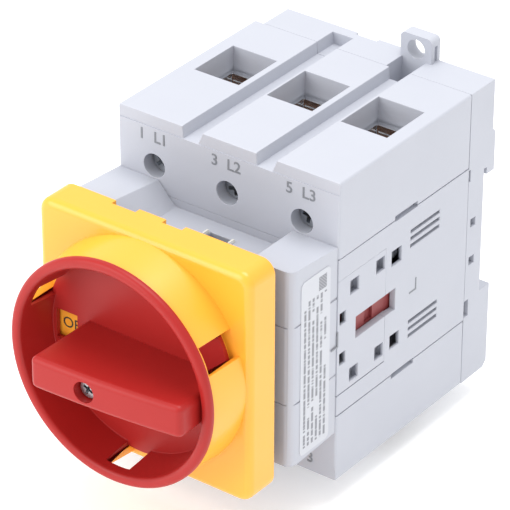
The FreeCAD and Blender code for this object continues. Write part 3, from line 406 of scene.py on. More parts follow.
class FinishShop:
    """Makes each finish once and hands it out."""

    def __init__(self) -> None:
        """Makes the recipes; a material is built the first time it is asked for."""
        label_low, label_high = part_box("rating_label")
        self.recipes = {
            Finish.GREY: MouldedPlastic("moulded_grey", (0.475, 0.49, 0.545), (0.445, 0.46, 0.515), 0.50),
            Finish.YELLOW: MouldedPlastic("signal_yellow", (0.97, 0.435, 0.038), (0.94, 0.405, 0.030), 0.34,
                                          grain_depth_mm=0.005, coat=0.2),
            Finish.RED: MouldedPlastic("signal_red", (0.39, 0.016, 0.014), (0.35, 0.014, 0.012), 0.40,
                                       grain_depth_mm=0.004, sheen=0.6),
            Finish.CARRIER: MouldedPlastic("carrier_red", (0.30, 0.055, 0.055), (0.24, 0.04, 0.04), 0.45),
            Finish.WHITE: MouldedPlastic("natural_white", (0.74, 0.73, 0.68), (0.68, 0.67, 0.62), 0.45),
            Finish.RUBBER: SealRubber("seal_rubber"),
            Finish.ZINC: PlatedMetal("zinc_plate", (0.52, 0.54, 0.56), (0.34, 0.36, 0.38), 0.32),
            Finish.SPRING: PlatedMetal("spring_wire", (0.42, 0.42, 0.44), (0.30, 0.30, 0.32), 0.34),
            Finish.CLAMP: PlatedMetal("clamp_plate", (0.80, 0.81, 0.82), (0.66, 0.67, 0.69), 0.22,
                                      (1.0, 1.0, 12.0)),
            Finish.COPPER: PlatedMetal("contact_copper", (0.78, 0.42, 0.26), (0.60, 0.29, 0.17), 0.32,
                                       (1.0, 1.0, 12.0)),
            Finish.FILM: PrintedFilm("label_print", (label_low.y, label_low.z),
                                     (label_high.y, label_high.z)),
        }
        self.ink = InkAndPaintedShade("legend_black", (0.03, 0.028, 0.02)).material()
        # Painted shade: the raised marks are moulded in body colour, and this darker grey stands in for the
        # shadow round their strokes.
        self.mark = InkAndPaintedShade("mark_painted_shade_grey", (0.17, 0.18, 0.20)).material()
        self.made: dict[Finish, bpy.types.Material] = {}

    def of(self, finish: Finish) -> bpy.types.Material:
        """The material for one finish."""
        if finish not in self.made:
            self.made[finish] = self.recipes[finish].material()
        return self.made[finish]


# ------------------------------------------------------------------------------ modelling
class Pick(Enum):
    """What an edit-mode selection is made of."""

    FACES = ("FACE", "faces")
    EDGES = ("EDGE", "edges")
    CORNERS = ("VERT", "verts")


class Bench:
    """The modelling moves that every piece is made with."""

    @staticmethod
    def clear() -> None:
        """Leaves nothing selected, so that the next operator acts on one piece alone."""
        if bpy.context.object is not None and bpy.context.object.mode != "OBJECT":
            bpy.ops.object.mode_set(mode="OBJECT")
        bpy.ops.object.select_all(action="DESELECT")

    @staticmethod
    def take(piece: bpy.types.Object) -> bpy.types.Object:
        """Makes one piece the only one selected, and active.

        Args:
            piece: The piece to work on.

        Returns:
            The same piece.
        """
        Bench.clear()
        piece.select_set(True)
        bpy.context.view_layer.objects.active = piece
        return piece

    @staticmethod
    def settle(piece: bpy.types.Object) -> bpy.types.Object:
        """Moves a piece's place into its mesh.

        Args:
            piece: The piece to settle.

        Returns:
            The same piece, its object at the origin.
        """
        Bench.take(piece)
        bpy.ops.object.transform_apply(location=True, rotation=True, scale=True)
        return piece

    @staticmethod
    @contextmanager
    def editing(piece: bpy.types.Object) -> Iterator[None]:
        """Edit mode on one piece, with nothing selected at first.

        Args:
            piece: The piece to edit.
        """
        Bench.take(piece)
        bpy.ops.object.mode_set(mode="EDIT")
        bpy.ops.mesh.select_all(action="DESELECT")
        yield
        bpy.ops.object.mode_set(mode="OBJECT")

    @staticmethod
    def pick(kind: Pick, test: Callable) -> int:
        """Selects, in edit mode, just what passes a test.

        Args:
            kind: Faces, edges or corners.
            test: True for an element that is wanted.

        Returns:
            How many were selected.
        """
        mode, layer = kind.value
        bpy.ops.mesh.select_mode(type=mode)
        bpy.ops.mesh.select_all(action="DESELECT")
        mesh = bpy.context.object.data
        shape = bmesh.from_edit_mesh(mesh)
        wanted = [item for item in getattr(shape, layer) if test(item)]
        for item in wanted:
            item.select_set(True)
        shape.select_flush_mode()
        bmesh.update_edit_mesh(mesh)
        return len(wanted)

    @staticmethod
    def heal() -> None:
        """Merges, in edit mode, the corners that lie on each other and turns all faces outwards."""
        bpy.ops.mesh.select_all(action="SELECT")
        bpy.ops.mesh.remove_doubles(threshold=1e-7)
        bpy.ops.mesh.normals_make_consistent(inside=False)

    @staticmethod
    def score(axis: int, place: float) -> None:
        """Cuts, in edit mode, a line of new edges round the shape.

        Args:
            axis: The axis that the cut is square to: 0, 1 or 2.
            place: Where along that axis, in metres.
        """
        square = tuple(float(index == axis) for index in range(3))
        bpy.ops.mesh.select_all(action="SELECT")
        bpy.ops.mesh.bisect(plane_co=tuple(place * value for value in square), plane_no=square)

    @staticmethod
    def block(name: str, low: Sequence[float], high: Sequence[float]) -> bpy.types.Object:
        """A cube drawn out between two corners.

        Args:
            name: The piece's name.
            low: The lowest corner, in metres.
            high: The highest corner, in metres.

        Returns:
            The new piece.
        """
        Bench.clear()
        low, high = Vector(low), Vector(high)
        bpy.ops.mesh.primitive_cube_add(size=1.0, location=(low + high) / 2, scale=high - low)
        bpy.context.object.name = name
        return Bench.settle(bpy.context.object)

    @staticmethod
    def turned(name: str, profile: Sequence[Point], steps: int = 96) -> bpy.types.Object:
        """A closed solid turned about the handle's axis.

        Args:
            name: The piece's name.
            profile: (radius, y) points, from one pole on the axis to the other, in metres.
            steps: How many sides a full turn has.

        Returns:
            The new piece.
        """
        Bench.clear()
        radius, y = profile[1]
        bpy.ops.mesh.primitive_circle_add(vertices=steps, radius=radius, location=(0.0, y, 0.0),
                                          rotation=(math.pi / 2, 0.0, 0.0), fill_type="TRIFAN")
        piece = bpy.context.object
        piece.name = name
        Bench.settle(piece)
        with Bench.editing(piece):
            Bench.pick(Pick.CORNERS, lambda v: v.co.x ** 2 + v.co.z ** 2 < (0.5 * radius) ** 2)
            bpy.ops.transform.translate(value=(0.0, profile[0][1] - y, 0.0))
            Bench.pick(Pick.EDGES, lambda e: e.is_boundary)
            for next_radius, next_y in profile[2:-1]:
                bpy.ops.mesh.extrude_edges_move(TRANSFORM_OT_translate={"value": (0.0, next_y - y, 0.0)})
                share = next_radius / radius
                bpy.ops.transform.resize(value=(share, 1.0, share), center_override=(0.0, next_y, 0.0))
                radius, y = next_radius, next_y
            last = (0.0, profile[-1][1] - y, 0.0)
            bpy.ops.mesh.extrude_edges_move(TRANSFORM_OT_translate={"value": last})
            bpy.ops.mesh.merge(type="CENTER")
            Bench.heal()
        return piece

    @staticmethod
    def bevel_edges(piece: bpy.types.Object, width: float, segments: int, test: Callable) -> None:
        """Rounds the edges that pass a test.

        Args:
            piece: The piece to round.
            width: The round's width in metres.
            segments: How many facets make the round.
            test: True for an edge that is wanted.
        """
        with Bench.editing(piece):
            if Bench.pick(Pick.EDGES, test):
                bpy.ops.mesh.bevel(offset=width, segments=segments, affect="EDGES", clamp_overlap=False)

    @staticmethod
    def apply(piece: bpy.types.Object, kind: str, settings: dict) -> bpy.types.Object:
        """Adds one modifier and applies it.

        Args:
            piece: The piece to change.
            kind: The modifier's type.
            settings: The modifier's settings.

        Returns:
            The same piece.
        """
        modifier = piece.modifiers.new(kind.lower(), kind)
        for key, value in settings.items():
            setattr(modifier, key, value)
        Bench.take(piece)
        bpy.ops.object.modifier_apply(modifier=modifier.name)
        return piece

    @staticmethod
    def combine(piece: bpy.types.Object, tools: Sequence[bpy.types.Object],
                operation: str) -> bpy.types.Object:
        """Cuts tools out of a piece or fuses them with it, and clears them away.

        Args:
            piece: The piece to change.
            tools: The other shapes.
            operation: DIFFERENCE or UNION.

        Returns:
            The changed piece.
        """
        for tool in tools:
            Bench.apply(piece, "BOOLEAN", {"object": tool, "operation": operation, "solver": "EXACT"})
            bpy.data.objects.remove(tool)
        return piece

    @staticmethod
    def soften(piece: bpy.types.Object, width: float, segments: int = 2, angle: float = 38.0) -> None:
        """Rounds each outward edge that lies between two faces wide enough to take it.

        Args:
            piece: The piece to soften.
            width: The rounds' width in metres.
            segments: How many facets make a round.
            angle: The sharpest fold that is left as it is, in degrees.
        """
        def wanted(edge: bmesh.types.BMEdge) -> bool:
            """True for an outward fold whose two faces are both wider than the round."""
            if len(edge.link_faces) != 2 or not edge.is_convex:
                return False
            if edge.calc_face_angle() < math.radians(angle) or edge.calc_length() < 1.5 * width:
                return False
            return all(2.0 * f.calc_area() / f.calc_perimeter() > 1.3 * width for f in edge.link_faces)

        Bench.bevel_edges(piece, width, segments, wanted)

    @staticmethod
    def smooth(piece: bpy.types.Object, angle: float = 34.0) -> bpy.types.Object:
        """Shades a piece smooth, except over folds sharper than an angle, with its flats kept flat.

        Args:
            piece: The piece to shade.
            angle: The limit in degrees.

        Returns:
            The same piece.
        """
        Bench.take(piece)
        bpy.ops.object.shade_smooth_by_angle(angle=math.radians(angle))
        return Bench.apply(piece, "WEIGHTED_NORMAL", {"keep_sharp": True, "weight": 100})

    @staticmethod
    def copy_at(piece: bpy.types.Object, name: str, shift: Sequence[float],
                turn: Matrix | None = None) -> bpy.types.Object:
        """A copy with a mesh of its own, shifted after an optional turn.

        Args:
            piece: The piece to copy.
            name: The copy's name.
            shift: How far it moves, in metres.
            turn: A turn or mirror about the origin that comes first.

        Returns:
            The copy.
        """
        Bench.take(piece)
        bpy.ops.object.duplicate(linked=False)
        made = bpy.context.object
        made.name = name
        place = Matrix.Translation(Vector(shift)) @ (turn if turn is not None else Matrix.Identity(4))
        made.matrix_world = place
        Bench.settle(made)
        if place.determinant() < 0.0:
            with Bench.editing(made):
                bpy.ops.mesh.select_all(action="SELECT")
                bpy.ops.mesh.normals_make_consistent(inside=False)
        return made

    @staticmethod
    def join(name: str, pieces: Sequence[bpy.types.Object]) -> bpy.types.Object:
        """Several separate shapes as one piece.

        Args:
            name: The joined piece's name.
            pieces: The shapes.

        Returns:
            The joined piece.
        """
        Bench.take(pieces[0])
        for piece in pieces[1:]:
            piece.select_set(True)
        bpy.ops.object.join()
        bpy.context.object.name = name
        return bpy.context.object

    @staticmethod
    def lettering(name: str, words: str, height: float, thickness: float,
                  place: Matrix) -> bpy.types.Object:
        """Raised letters as a mesh.

        Args:
            name: The piece's name.
            words: What it says.
            height: The capitals' height in metres.
            thickness: How far the letters stand out, in metres.
            place: Where the text's own plane goes; its +Z is the way the letters face.

        Returns:
            The new piece.
        """
        Bench.clear()
        bpy.ops.object.text_add()
        piece = bpy.context.object
        piece.name = name
        piece.data.body = words
        piece.data.size = height / 0.7
        piece.data.extrude = thickness / 2
        piece.data.bevel_depth = min(thickness, height * 0.06) * 0.4
        piece.data.resolution_u = 6
        piece.data.align_x = "CENTER"
        piece.data.align_y = "CENTER"
        bpy.ops.object.convert(target="MESH")
        piece = bpy.context.object
        piece.matrix_world = place
        Bench.settle(piece)
        with Bench.editing(piece):
            Bench.heal()
        return piece


def arc(centre: Point, radius: float, start: float, stop: float, steps: int) -> list[Point]:
    """Points along a round.

    Args:
        centre: The round's centre, as (radius from the axis, y).
        radius: Its radius.
        start: The first point's angle in degrees, from the outward direction towards +Y.
        stop: The last point's angle.
        steps: How many steps there are between them.

    Returns:
        The points, ends included.
    """
    angles = [math.radians(start + (stop - start) * index / steps) for index in range(steps + 1)]
    return [(centre[0] + radius * math.cos(a), centre[1] + radius * math.sin(a)) for a in angles]


@dataclass
class Dresser:
    """Gives a piece its finish and its body, and hides the imported nodes that it stands for."""

    shop: FinishShop
    count: int = 0

    def dress(self, piece: bpy.types.Object, finish: Finish, body: str,
              replaced: Sequence[str] = ()) -> bpy.types.Object:
        """Finishes one piece.

        Args:
            piece: The piece.
            finish: Its finish.
            body: The body that it moves with.
            replaced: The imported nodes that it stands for.

        Returns:
            The same piece.
        """
        piece.data.materials.clear()
        piece.data.materials.append(self.shop.of(finish))
        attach(piece, body)
        if replaced:
            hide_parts(*replaced)
        self.count += 1
        LOG.info("%-26s %-16s %6d faces", piece.name, finish.value, len(piece.data.polygons))
        return piece

    def keep(self, node: str, finish: Finish) -> None:
        """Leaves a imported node's shape as it is and gives it a finish."""
        piece = frame["nodes"][node]
        piece.data.materials.clear()
        piece.data.materials.append(self.shop.of(finish))


BODY_OF = {node: body for body, nodes in frame["record"]["behaviour"]["bodies"].items() for node in nodes}


# ------------------------------------------------------------------------------ sub-assemblies
@dataclass
class MouldedPart:
    """A packed moulding taken as it is, its facets merged and its hard edges eased."""

    node: str
    finish: Finish = Finish.GREY
    edge_mm: float = 0.22
    segments: int = 2

    def build(self, dresser: Dresser) -> bpy.types.Object:
        """Copies the node, merges it and softens it.

        Args:
            dresser: Finishes the piece.

        Returns:
            The new piece.
        """
        source = frame["nodes"][self.node]
        piece = bpy.data.objects.new(f"{self.node}_moulded", source.data.copy())
        bpy.context.scene.collection.objects.link(piece)
        Bench.take(piece)
        bpy.ops.mesh.customdata_custom_splitnormals_clear()
        with Bench.editing(piece):
            bpy.ops.mesh.select_all(action="SELECT")
            bpy.ops.mesh.remove_doubles(threshold=1e-6)
            bpy.ops.mesh.dissolve_limited(angle_limit=math.radians(0.5))
            bpy.ops.mesh.normals_make_consistent(inside=False)
        Bench.soften(piece, self.edge_mm * MM, self.segments)
        Bench.smooth(piece)
        return dresser.dress(piece, self.finish, BODY_OF[self.node], [self.node])


@dataclass
class CrossHeadScrew:
    """A cylinder-head screw along +Y with a cross recess and a ridged shank, its head's face at y = 0."""

    head_radius_mm: float
    head_height_mm: float
    shank_radius_mm: float
    length_mm: float
    pitch_mm: float = 1.0
    recess_mm: float = 1.6
    face_round_mm: float = 0.35

    def profile(self) -> list[Point]:
        """The half section from the head's face to the tip."""
        head, top = self.head_radius_mm, self.face_round_mm
        points = [(0.0, 0.0), (head - top, 0.0), (head, top), (head, self.head_height_mm),
                  (self.shank_radius_mm * 0.97, self.head_height_mm)]
        root = self.shank_radius_mm * 0.88
        y = self.head_height_mm
        while y + self.pitch_mm < self.length_mm - 0.4:
            points += [(root, y + self.pitch_mm * 0.08),
                       (self.shank_radius_mm * 0.985, y + self.pitch_mm * 0.45),
                       (self.shank_radius_mm * 0.985, y + self.pitch_mm * 0.55)]
            y += self.pitch_mm
        points += [(root, self.length_mm - 0.35), (root * 0.8, self.length_mm), (0.0, self.length_mm)]
        return [(radius * MM, depth * MM) for radius, depth in points]

    def build(self, name: str) -> bpy.types.Object:
        """Turns the screw and sinks its cross recess.

        Args:
            name: The piece's name.

        Returns:
            The screw, on the handle's axis with its face at y = 0.
        """
        screw = Bench.turned(name, self.profile(), 40)
        arm = self.recess_mm * MM
        half = 0.26 * arm
        depth = min(self.head_height_mm * 0.7, 1.9) * MM
        tools = []
        for index, reach in enumerate(((arm, half), (half, arm))):
            tool = Bench.block(f"recess_{index}", (-reach[0], -0.5 * MM, -reach[1]),
                               (reach[0], depth, reach[1]))
            with Bench.editing(tool):
                Bench.pick(Pick.FACES, lambda f: f.normal.y > 0.9)
                bpy.ops.transform.resize(value=(0.62, 1.0, 0.62), center_override=(0.0, depth, 0.0))
            tools.append(tool)
        Bench.combine(screw, tools, "DIFFERENCE")
        return Bench.smooth(screw, 32.0)


@dataclass
class HandleAssembly:
    """The red handle: a rimmed bowl with a finger bar across it, and the screw that holds it."""

    rim_outer_mm: float = 32.4
    rim_round_mm: float = 1.3
    mouth_mm: float = 29.3
    floor_radius_mm: float = 28.2
    wall_outer_mm: float = 30.0
    wall_outer_back_mm: float = 29.6
    rim_front_mm: float = -122.0
    rim_back_mm: float = -119.7
    floor_front_mm: float = -109.6
    floor_back_mm: float = -108.2
    floor_round_mm: float = 0.2
    hub_mm: float = 9.85
    hub_back_mm: float = -97.4
    window_angles: tuple[float, ...] = (25.0, 155.0, 270.0)
    window_half_mm: float = 3.85
    window_front_mm: float = -118.7
    window_inner_mm: float = 27.0
    legend_window_mm: tuple[float, float, float, float] = (-26.9, -20.0, -4.4, 4.1)
    bar_left_mm: float = -17.0
    bar_right_mm: float = 28.6
    bar_front_mm: tuple[float, float, float] = (-132.45, -131.4, -128.7)
    bar_half_front_mm: float = 4.7
    bar_half_base_mm: float = 4.3
    bar_round_mm: float = 1.7
    bar_rows_mm: tuple[float, float] = (-126.0, -118.0)
    screw_face_mm: float = -129.8
    screw_head_mm: float = 2.0
    screw_turn: float = 24.0
    counterbore_mm: float = 3.0
    columns: int = 14

    def bowl(self) -> bpy.types.Object:
        """The rim, wall, floor and hub as one turned shape."""
        soft = self.rim_round_mm
        rim_mid = (self.rim_front_mm + self.rim_back_mm) / 2
        points: list[Point] = [(0.0, self.floor_front_mm), (6.0, self.floor_front_mm)]
        corner = (self.floor_radius_mm - self.floor_round_mm, self.floor_front_mm - self.floor_round_mm)
        points += arc(corner, self.floor_round_mm, 90.0, 3.0, 6)
        points += arc((self.mouth_mm + soft, self.rim_front_mm + soft), soft, 180.0, 270.0, 5)
        outer = self.rim_outer_mm - soft
        points += arc((outer, self.rim_front_mm + soft), soft, 270.0, 360.0, 6)
        points += [(self.rim_outer_mm, rim_mid + 0.4)]
        points += arc((self.rim_outer_mm - 0.5, self.rim_back_mm - 0.5), 0.5, 0.0, 90.0, 3)
        points += [(self.wall_outer_mm, self.rim_back_mm), (self.wall_outer_back_mm, self.floor_back_mm),
                   (self.hub_mm, self.floor_back_mm), (self.hub_mm, self.hub_back_mm),
                   (0.0, self.hub_back_mm)]
        return Bench.turned("handle_bowl", [(r * MM, y * MM) for r, y in points], 144)

    def front_at(self, x: float) -> float:
        """The finger bar's front at one place along it, on the curve through its three heights."""
        left, middle, right = self.bar_front_mm
        share = (x - self.bar_left_mm) / (self.bar_right_mm - self.bar_left_mm)
        crown = middle - (left + (right - left) * 0.5)
        return left + (right - left) * share + 4.0 * crown * share * (1.0 - share)

    def bar(self) -> bpy.types.Object:
        """The finger bar: drafted sides, an arched front and round edges."""
        front, back = min(self.bar_front_mm), self.floor_back_mm - 0.3
        half = self.bar_half_front_mm
        piece = Bench.block("handle_bar", (self.bar_left_mm * MM, front * MM, -half * MM),
                            (self.bar_right_mm * MM, back * MM, half * MM))
        rows = [*self.bar_rows_mm, self.floor_front_mm]
        length = self.bar_right_mm - self.bar_left_mm
        places = [self.bar_left_mm + length * index / self.columns for index in range(self.columns + 1)]
        with Bench.editing(piece):
            for row in rows:
                Bench.score(1, row * MM)
            for x in places[1:-1]:
                Bench.score(0, x * MM)
            for row in rows + [back]:
                share = (row - front) / (back - front)
                width = half + (self.bar_half_base_mm - half) * share
                Bench.pick(Pick.CORNERS, lambda v: abs(v.co.y - row * MM) < 1e-6)
                bpy.ops.transform.resize(value=(1.0, 1.0, width / half),
                                         center_override=(0.0, row * MM, 0.0))
            for x in places:
                Bench.pick(Pick.CORNERS,
                           lambda v: abs(v.co.x - x * MM) < 1e-6 and v.co.y < (front + 0.01) * MM)
                bpy.ops.transform.translate(value=(0.0, (self.front_at(x) - front) * MM, 0.0))
            bpy.ops.mesh.select_all(action="SELECT")
            bpy.ops.mesh.normals_make_consistent(inside=False)
        Bench.bevel_edges(piece, self.bar_round_mm * MM, 5, self.bar_edge)
        return piece

    def bar_edge(self, edge: bmesh.types.BMEdge) -> bool:
        """True for the bar's outer edges: along its front, and up its two ends."""
        if len(edge.link_faces) != 2 or edge.calc_face_angle() < math.radians(45.0):
            return False
        middle = (edge.verts[0].co + edge.verts[1].co) / 2
        return middle.y < (self.floor_front_mm - 1.0) * MM

    def windows(self) -> list[bpy.types.Object]:
        """The cutters for the three padlock windows and the legend window."""
        half = self.window_half_mm
        tools = []
        for index, angle in enumerate(self.window_angles):
            tool = Bench.block(f"window_{index}",
                               (self.window_inner_mm * MM, self.window_front_mm * MM, -half * MM),
                               (31.0 * MM, self.floor_front_mm * MM, half * MM))
            tool.matrix_world = Matrix.Rotation(-math.radians(angle), 4, "Y")
            tools.append(Bench.settle(tool))
        x0, x1, z0, z1 = self.legend_window_mm
        tools.append(Bench.block("legend_window", (x0 * MM, (self.floor_front_mm - 1.0) * MM, z0 * MM),
                                 (x1 * MM, (self.floor_back_mm + 0.3) * MM, z1 * MM)))
        return tools

    def build(self, dresser: Dresser) -> None:
        """Joins bowl and bar, opens the windows and the screw's counterbore, and adds the screw.

        Args:
            dresser: Finishes the pieces.
        """
        handle = Bench.combine(self.bowl(), [self.bar()], "UNION")
        seat = (self.screw_face_mm + self.screw_head_mm) * MM
        ahead, wide = (min(self.bar_front_mm) - 1.55) * MM, self.counterbore_mm * MM
        bore = Bench.turned("bore", [(0.0, ahead), (wide, ahead), (wide, seat), (0.0, seat)], 48)
        Bench.combine(handle, self.windows() + [bore], "DIFFERENCE")
        handle.name = "handle_moulding"
        Bench.soften(handle, 0.16 * MM, 2, 50.0)
        Bench.smooth(handle, 36.0)
        dresser.dress(handle, Finish.RED, "handle", ["rotary_handle"])
        screw = CrossHeadScrew(2.8, self.screw_head_mm, 2.0, 19.0, 0.8, 1.75).build("handle_screw_zinc")
        screw = Bench.settle(self.moved_screw(screw))
        dresser.dress(screw, Finish.ZINC, "handle", ["handle_screw"])

    def moved_screw(self, screw: bpy.types.Object) -> bpy.types.Object:
        """The screw in its counterbore, its recess turned a little as the last turn left it."""
        screw.matrix_world = (Matrix.Translation((0.0, self.screw_face_mm * MM, 0.0))
                              @ Matrix.Rotation(math.radians(self.screw_turn), 4, "Y"))
        return screw


@dataclass
class FrontPlate:
    """The square yellow plate with its lockable ring, and the legend disc inside it."""

    half_mm: float = 34.1
    back_mm: float = -97.0
    front_mm: float = -107.4
    corner_mm: float = 4.0
    edge_mm: float = 2.2
    skin_mm: float = 3.2
    wall_mm: float = 2.6
    ring_base_mm: float = 32.8
    ring_front_radius_mm: float = 31.4
    ring_inner_mm: float = 30.3
    ring_front_mm: float = -119.3
    bore_mm: float = 9.92
    screw_half_mm: float = 18.0
    dial_front_mm: float = -107.9
    dial_mm: float = 29.0
    window_angles: tuple[float, ...] = (25.0, 155.0, 270.0)
    window_half_mm: float = 3.85
    window_front_mm: float = -118.7
    notches_mm: tuple[tuple[float, float], ...] = ((-16.4, -8.9), (-0.2, 6.0))
    notch_height_mm: float = 2.8
    notch_depth_mm: float = 1.8
    boss_mm: float = 4.4
    sink_mm: float = 3.9
    sink_depth_mm: float = 2.6
    screw_hole_mm: float = 2.1
    dial_lip_mm: float = 0.15
    letter_mm: float = 3.1

    def plate(self) -> bpy.types.Object:
        """The square plate, rounded in front and hollow behind."""
        half = self.half_mm * MM
        front, back = self.front_mm * MM, self.back_mm * MM
        piece = Bench.block("plate_body", (-half, front, -half), (half, back, half))
        Bench.bevel_edges(piece, self.corner_mm * MM, 8,
                          lambda e: abs(e.verts[0].co.y - e.verts[1].co.y) > 5.0 * MM)
        with Bench.editing(piece):
            Bench.pick(Pick.FACES, lambda f: f.normal.y > 0.9)
            bpy.ops.mesh.inset(thickness=self.wall_mm * MM)
            depth = back - front - self.skin_mm * MM
            bpy.ops.mesh.extrude_region_move(TRANSFORM_OT_translate={"value": (0.0, -depth, 0.0)})
        Bench.bevel_edges(piece, self.edge_mm * MM, 5,
                          lambda e: max(abs(v.co.y - front) for v in e.verts) < 1e-6)
        return piece

    def ring(self) -> bpy.types.Object:
        """The ring as a turned cone, its bore cut through afterwards."""
        base, front = self.front_mm + 1.0, self.ring_front_mm
        soft = 0.5
        points = [(0.0, front), (self.ring_inner_mm - 1.0, front)]
        points += arc((self.ring_front_radius_mm - soft, front + soft), soft, 270.0, 350.0, 4)
        points += [(self.ring_base_mm, base), (0.0, base)]
        ring = Bench.turned("plate_ring", [(r * MM, y * MM) for r, y in points], 144)
        bore = [(0.0, front - 1.0), (self.ring_inner_mm, front - 1.0), (self.ring_inner_mm, self.front_mm),
                (0.0, self.front_mm)]
        return Bench.combine(ring, [Bench.turned("ring_bore", [(r * MM, y * MM) for r, y in bore], 144)],
                             "DIFFERENCE")

    def bosses(self) -> list[bpy.types.Object]:
        """The hub's boss and the four screw bosses behind the plate."""
        front, back = (self.front_mm + 0.5) * MM, self.back_mm * MM
        hub_r = (self.bore_mm + 3.0) * MM
        hub = Bench.turned("hub_boss", [(0.0, front), (hub_r, front), (hub_r, back), (0.0, back)], 64)
        wide = self.boss_mm * MM
        boss = Bench.turned("screw_boss", [(0.0, front), (wide, front), (wide, back), (0.0, back)], 32)
        return [hub] + self.at_screws(boss)

    def at_screws(self, piece: bpy.types.Object) -> list[bpy.types.Object]:
        """A shape copied to the four screw places, and cleared away itself."""
        half = self.screw_half_mm * MM
        places = [(x, z) for x in (-half, half) for z in (-half, half)]
        made = [Bench.copy_at(piece, f"{piece.name}_{index}", (x, 0.0, z))
                for index, (x, z) in enumerate(places)]
        bpy.data.objects.remove(piece)
        return made

    def cutters(self) -> list[bpy.types.Object]:
        """The shapes of the hub's bore, screw holes, padlock windows and rim notches."""
        front, back = self.front_mm * MM, self.back_mm * MM
        bore = self.bore_mm * MM
        tools = [Bench.turned("hub_bore", [(0.0, front - 2 * MM), (bore, front - 2 * MM),
                                           (bore, back + 2 * MM), (0.0, back + 2 * MM)], 96)]
        wide, hole, seat = self.sink_mm * MM, self.screw_hole_mm * MM, front + self.sink_depth_mm * MM
        sink = Bench.turned("screw_sink", [(0.0, front - MM), (wide, front - MM), (wide, seat),
                                           (hole, seat), (hole, back + MM), (0.0, back + MM)], 40)
        tools += self.at_screws(sink)
        half = self.window_half_mm * MM
        for index, angle in enumerate(self.window_angles):
            tool = Bench.block(f"lock_window_{index}", (29.0 * MM, self.window_front_mm * MM, -half),
                               (34.0 * MM, front, half))
            tool.matrix_world = Matrix.Rotation(-math.radians(angle), 4, "Y")
            tools.append(Bench.settle(tool))
        for index, (x0, x1) in enumerate(self.notches_mm):
            low = (x0 * MM, back - self.notch_depth_mm * MM, (self.half_mm - self.notch_height_mm) * MM)
            high = (x1 * MM, back + MM, (self.half_mm + 1.0) * MM)
            tools.append(Bench.block(f"notch_{index}", low, high))
        return tools

    def dial(self) -> bpy.types.Object:
        """The legend disc, with a low lip round its edge."""
        front, back = self.dial_front_mm, self.front_mm
        low, edge = front + self.dial_lip_mm, self.dial_mm
        points = [(0.0, low), (edge - 1.6, low), (edge - 1.3, front), (edge - 0.2, front),
                  (edge, front + 0.2), (edge, back), (0.0, back)]
        disc = Bench.turned("dial_disc_yellow", [(r * MM, y * MM) for r, y in points], 128)
        bore = self.bore_mm * MM
        ahead, behind = (front - 4.1) * MM, (back + 3.4) * MM
        hole = Bench.turned("dial_bore", [(0.0, ahead), (bore, ahead), (bore, behind), (0.0, behind)], 96)
        return Bench.combine(disc, [hole], "DIFFERENCE")

    def legend(self, name: str, words: str, x_mm: float, z_mm: float) -> bpy.types.Object:
        """One printed word on the legend disc."""
        turn = Matrix.Rotation(math.pi / 2, 4, "X")
        face = (self.dial_front_mm + self.dial_lip_mm - 0.02) * MM
        place = Matrix.Translation((x_mm * MM, face, z_mm * MM)) @ turn
        return Bench.lettering(name, words, self.letter_mm * MM, 0.04 * MM, place)

    def build(self, dresser: Dresser) -> None:
        """Makes the plate with its ring, the legend disc, its words and the plate's screws.

        Args:
            dresser: Finishes the pieces.
        """
        plate = Bench.combine(self.plate(), [self.ring()] + self.bosses(), "UNION")
        Bench.combine(plate, self.cutters(), "DIFFERENCE")
        plate.name = "front_plate_yellow"
        Bench.soften(plate, 0.18 * MM, 2, 50.0)
        Bench.smooth(plate, 36.0)
        dresser.dress(plate, Finish.YELLOW, "housing", ["front_plate"])
        disc = Bench.smooth(self.dial())
        dresser.dress(disc, Finish.YELLOW, "housing", ["dial_disc"])
        for name, words, x, z in (("legend_off", "OFF", -22.4, -0.5), ("legend_on", "ON", 0.0, 21.6)):
            word = dresser.dress(self.legend(name, words, x, z), Finish.YELLOW, "housing")
            word.data.materials[0] = dresser.shop.ink
        screw = CrossHeadScrew(3.7, 2.4, 2.0, 23.0, 0.8, 2.2).build("plate_screw")
        group = Bench.join("plate_screws_zinc", self.at_screws(screw))
        group.matrix_world = Matrix.Translation((0.0, (self.front_mm + 0.2) * MM, 0.0))
        dresser.dress(Bench.settle(group), Finish.ZINC, "housing", ["plate_screws"])


@dataclass
class TerminalPole:
    """What one pole shows at one side: its clamp and its screw."""

    number: int
    side: str

    def build_clamp(self, dresser: Dresser, cage: bpy.types.Object, screw: bpy.types.Object) -> None:
        """Copies the clamp and its screw to this pole.

        Args:
            dresser: Finishes the pieces.
            cage: The clamp as modelled on the handle's axis, line side.
            screw: The clamp screw as modelled at y = 0 on the handle's axis.
        """
        low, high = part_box(f"{self.side}_cage_{self.number}")
        centre = (low + high) / 2
        flip = Matrix.Identity(4) if self.side == "line" else Matrix.Diagonal((1.0, 1.0, -1.0, 1.0))
        made = Bench.copy_at(cage, f"{self.side}_clamp_{self.number}", centre, flip)
        Bench.smooth(made)
        dresser.dress(made, Finish.CLAMP, f"{self.side}_cage_body_{self.number}",
                      [f"{self.side}_cage_{self.number}"])
        low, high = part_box(f"{self.side}_screw_{self.number}")
        turn = Matrix.Rotation(math.radians(17.0 + 29.0 * self.number), 4, "Y")
        place = ((low.x + high.x) / 2, low.y, (low.z + high.z) / 2)
        made = Bench.copy_at(screw, f"{self.side}_clamp_screw_{self.number}", place, turn)
        Bench.smooth(made, 32.0)
        dresser.dress(made, Finish.ZINC, f"{self.side}_screw_body_{self.number}",
                      [f"{self.side}_screw_{self.number}"])


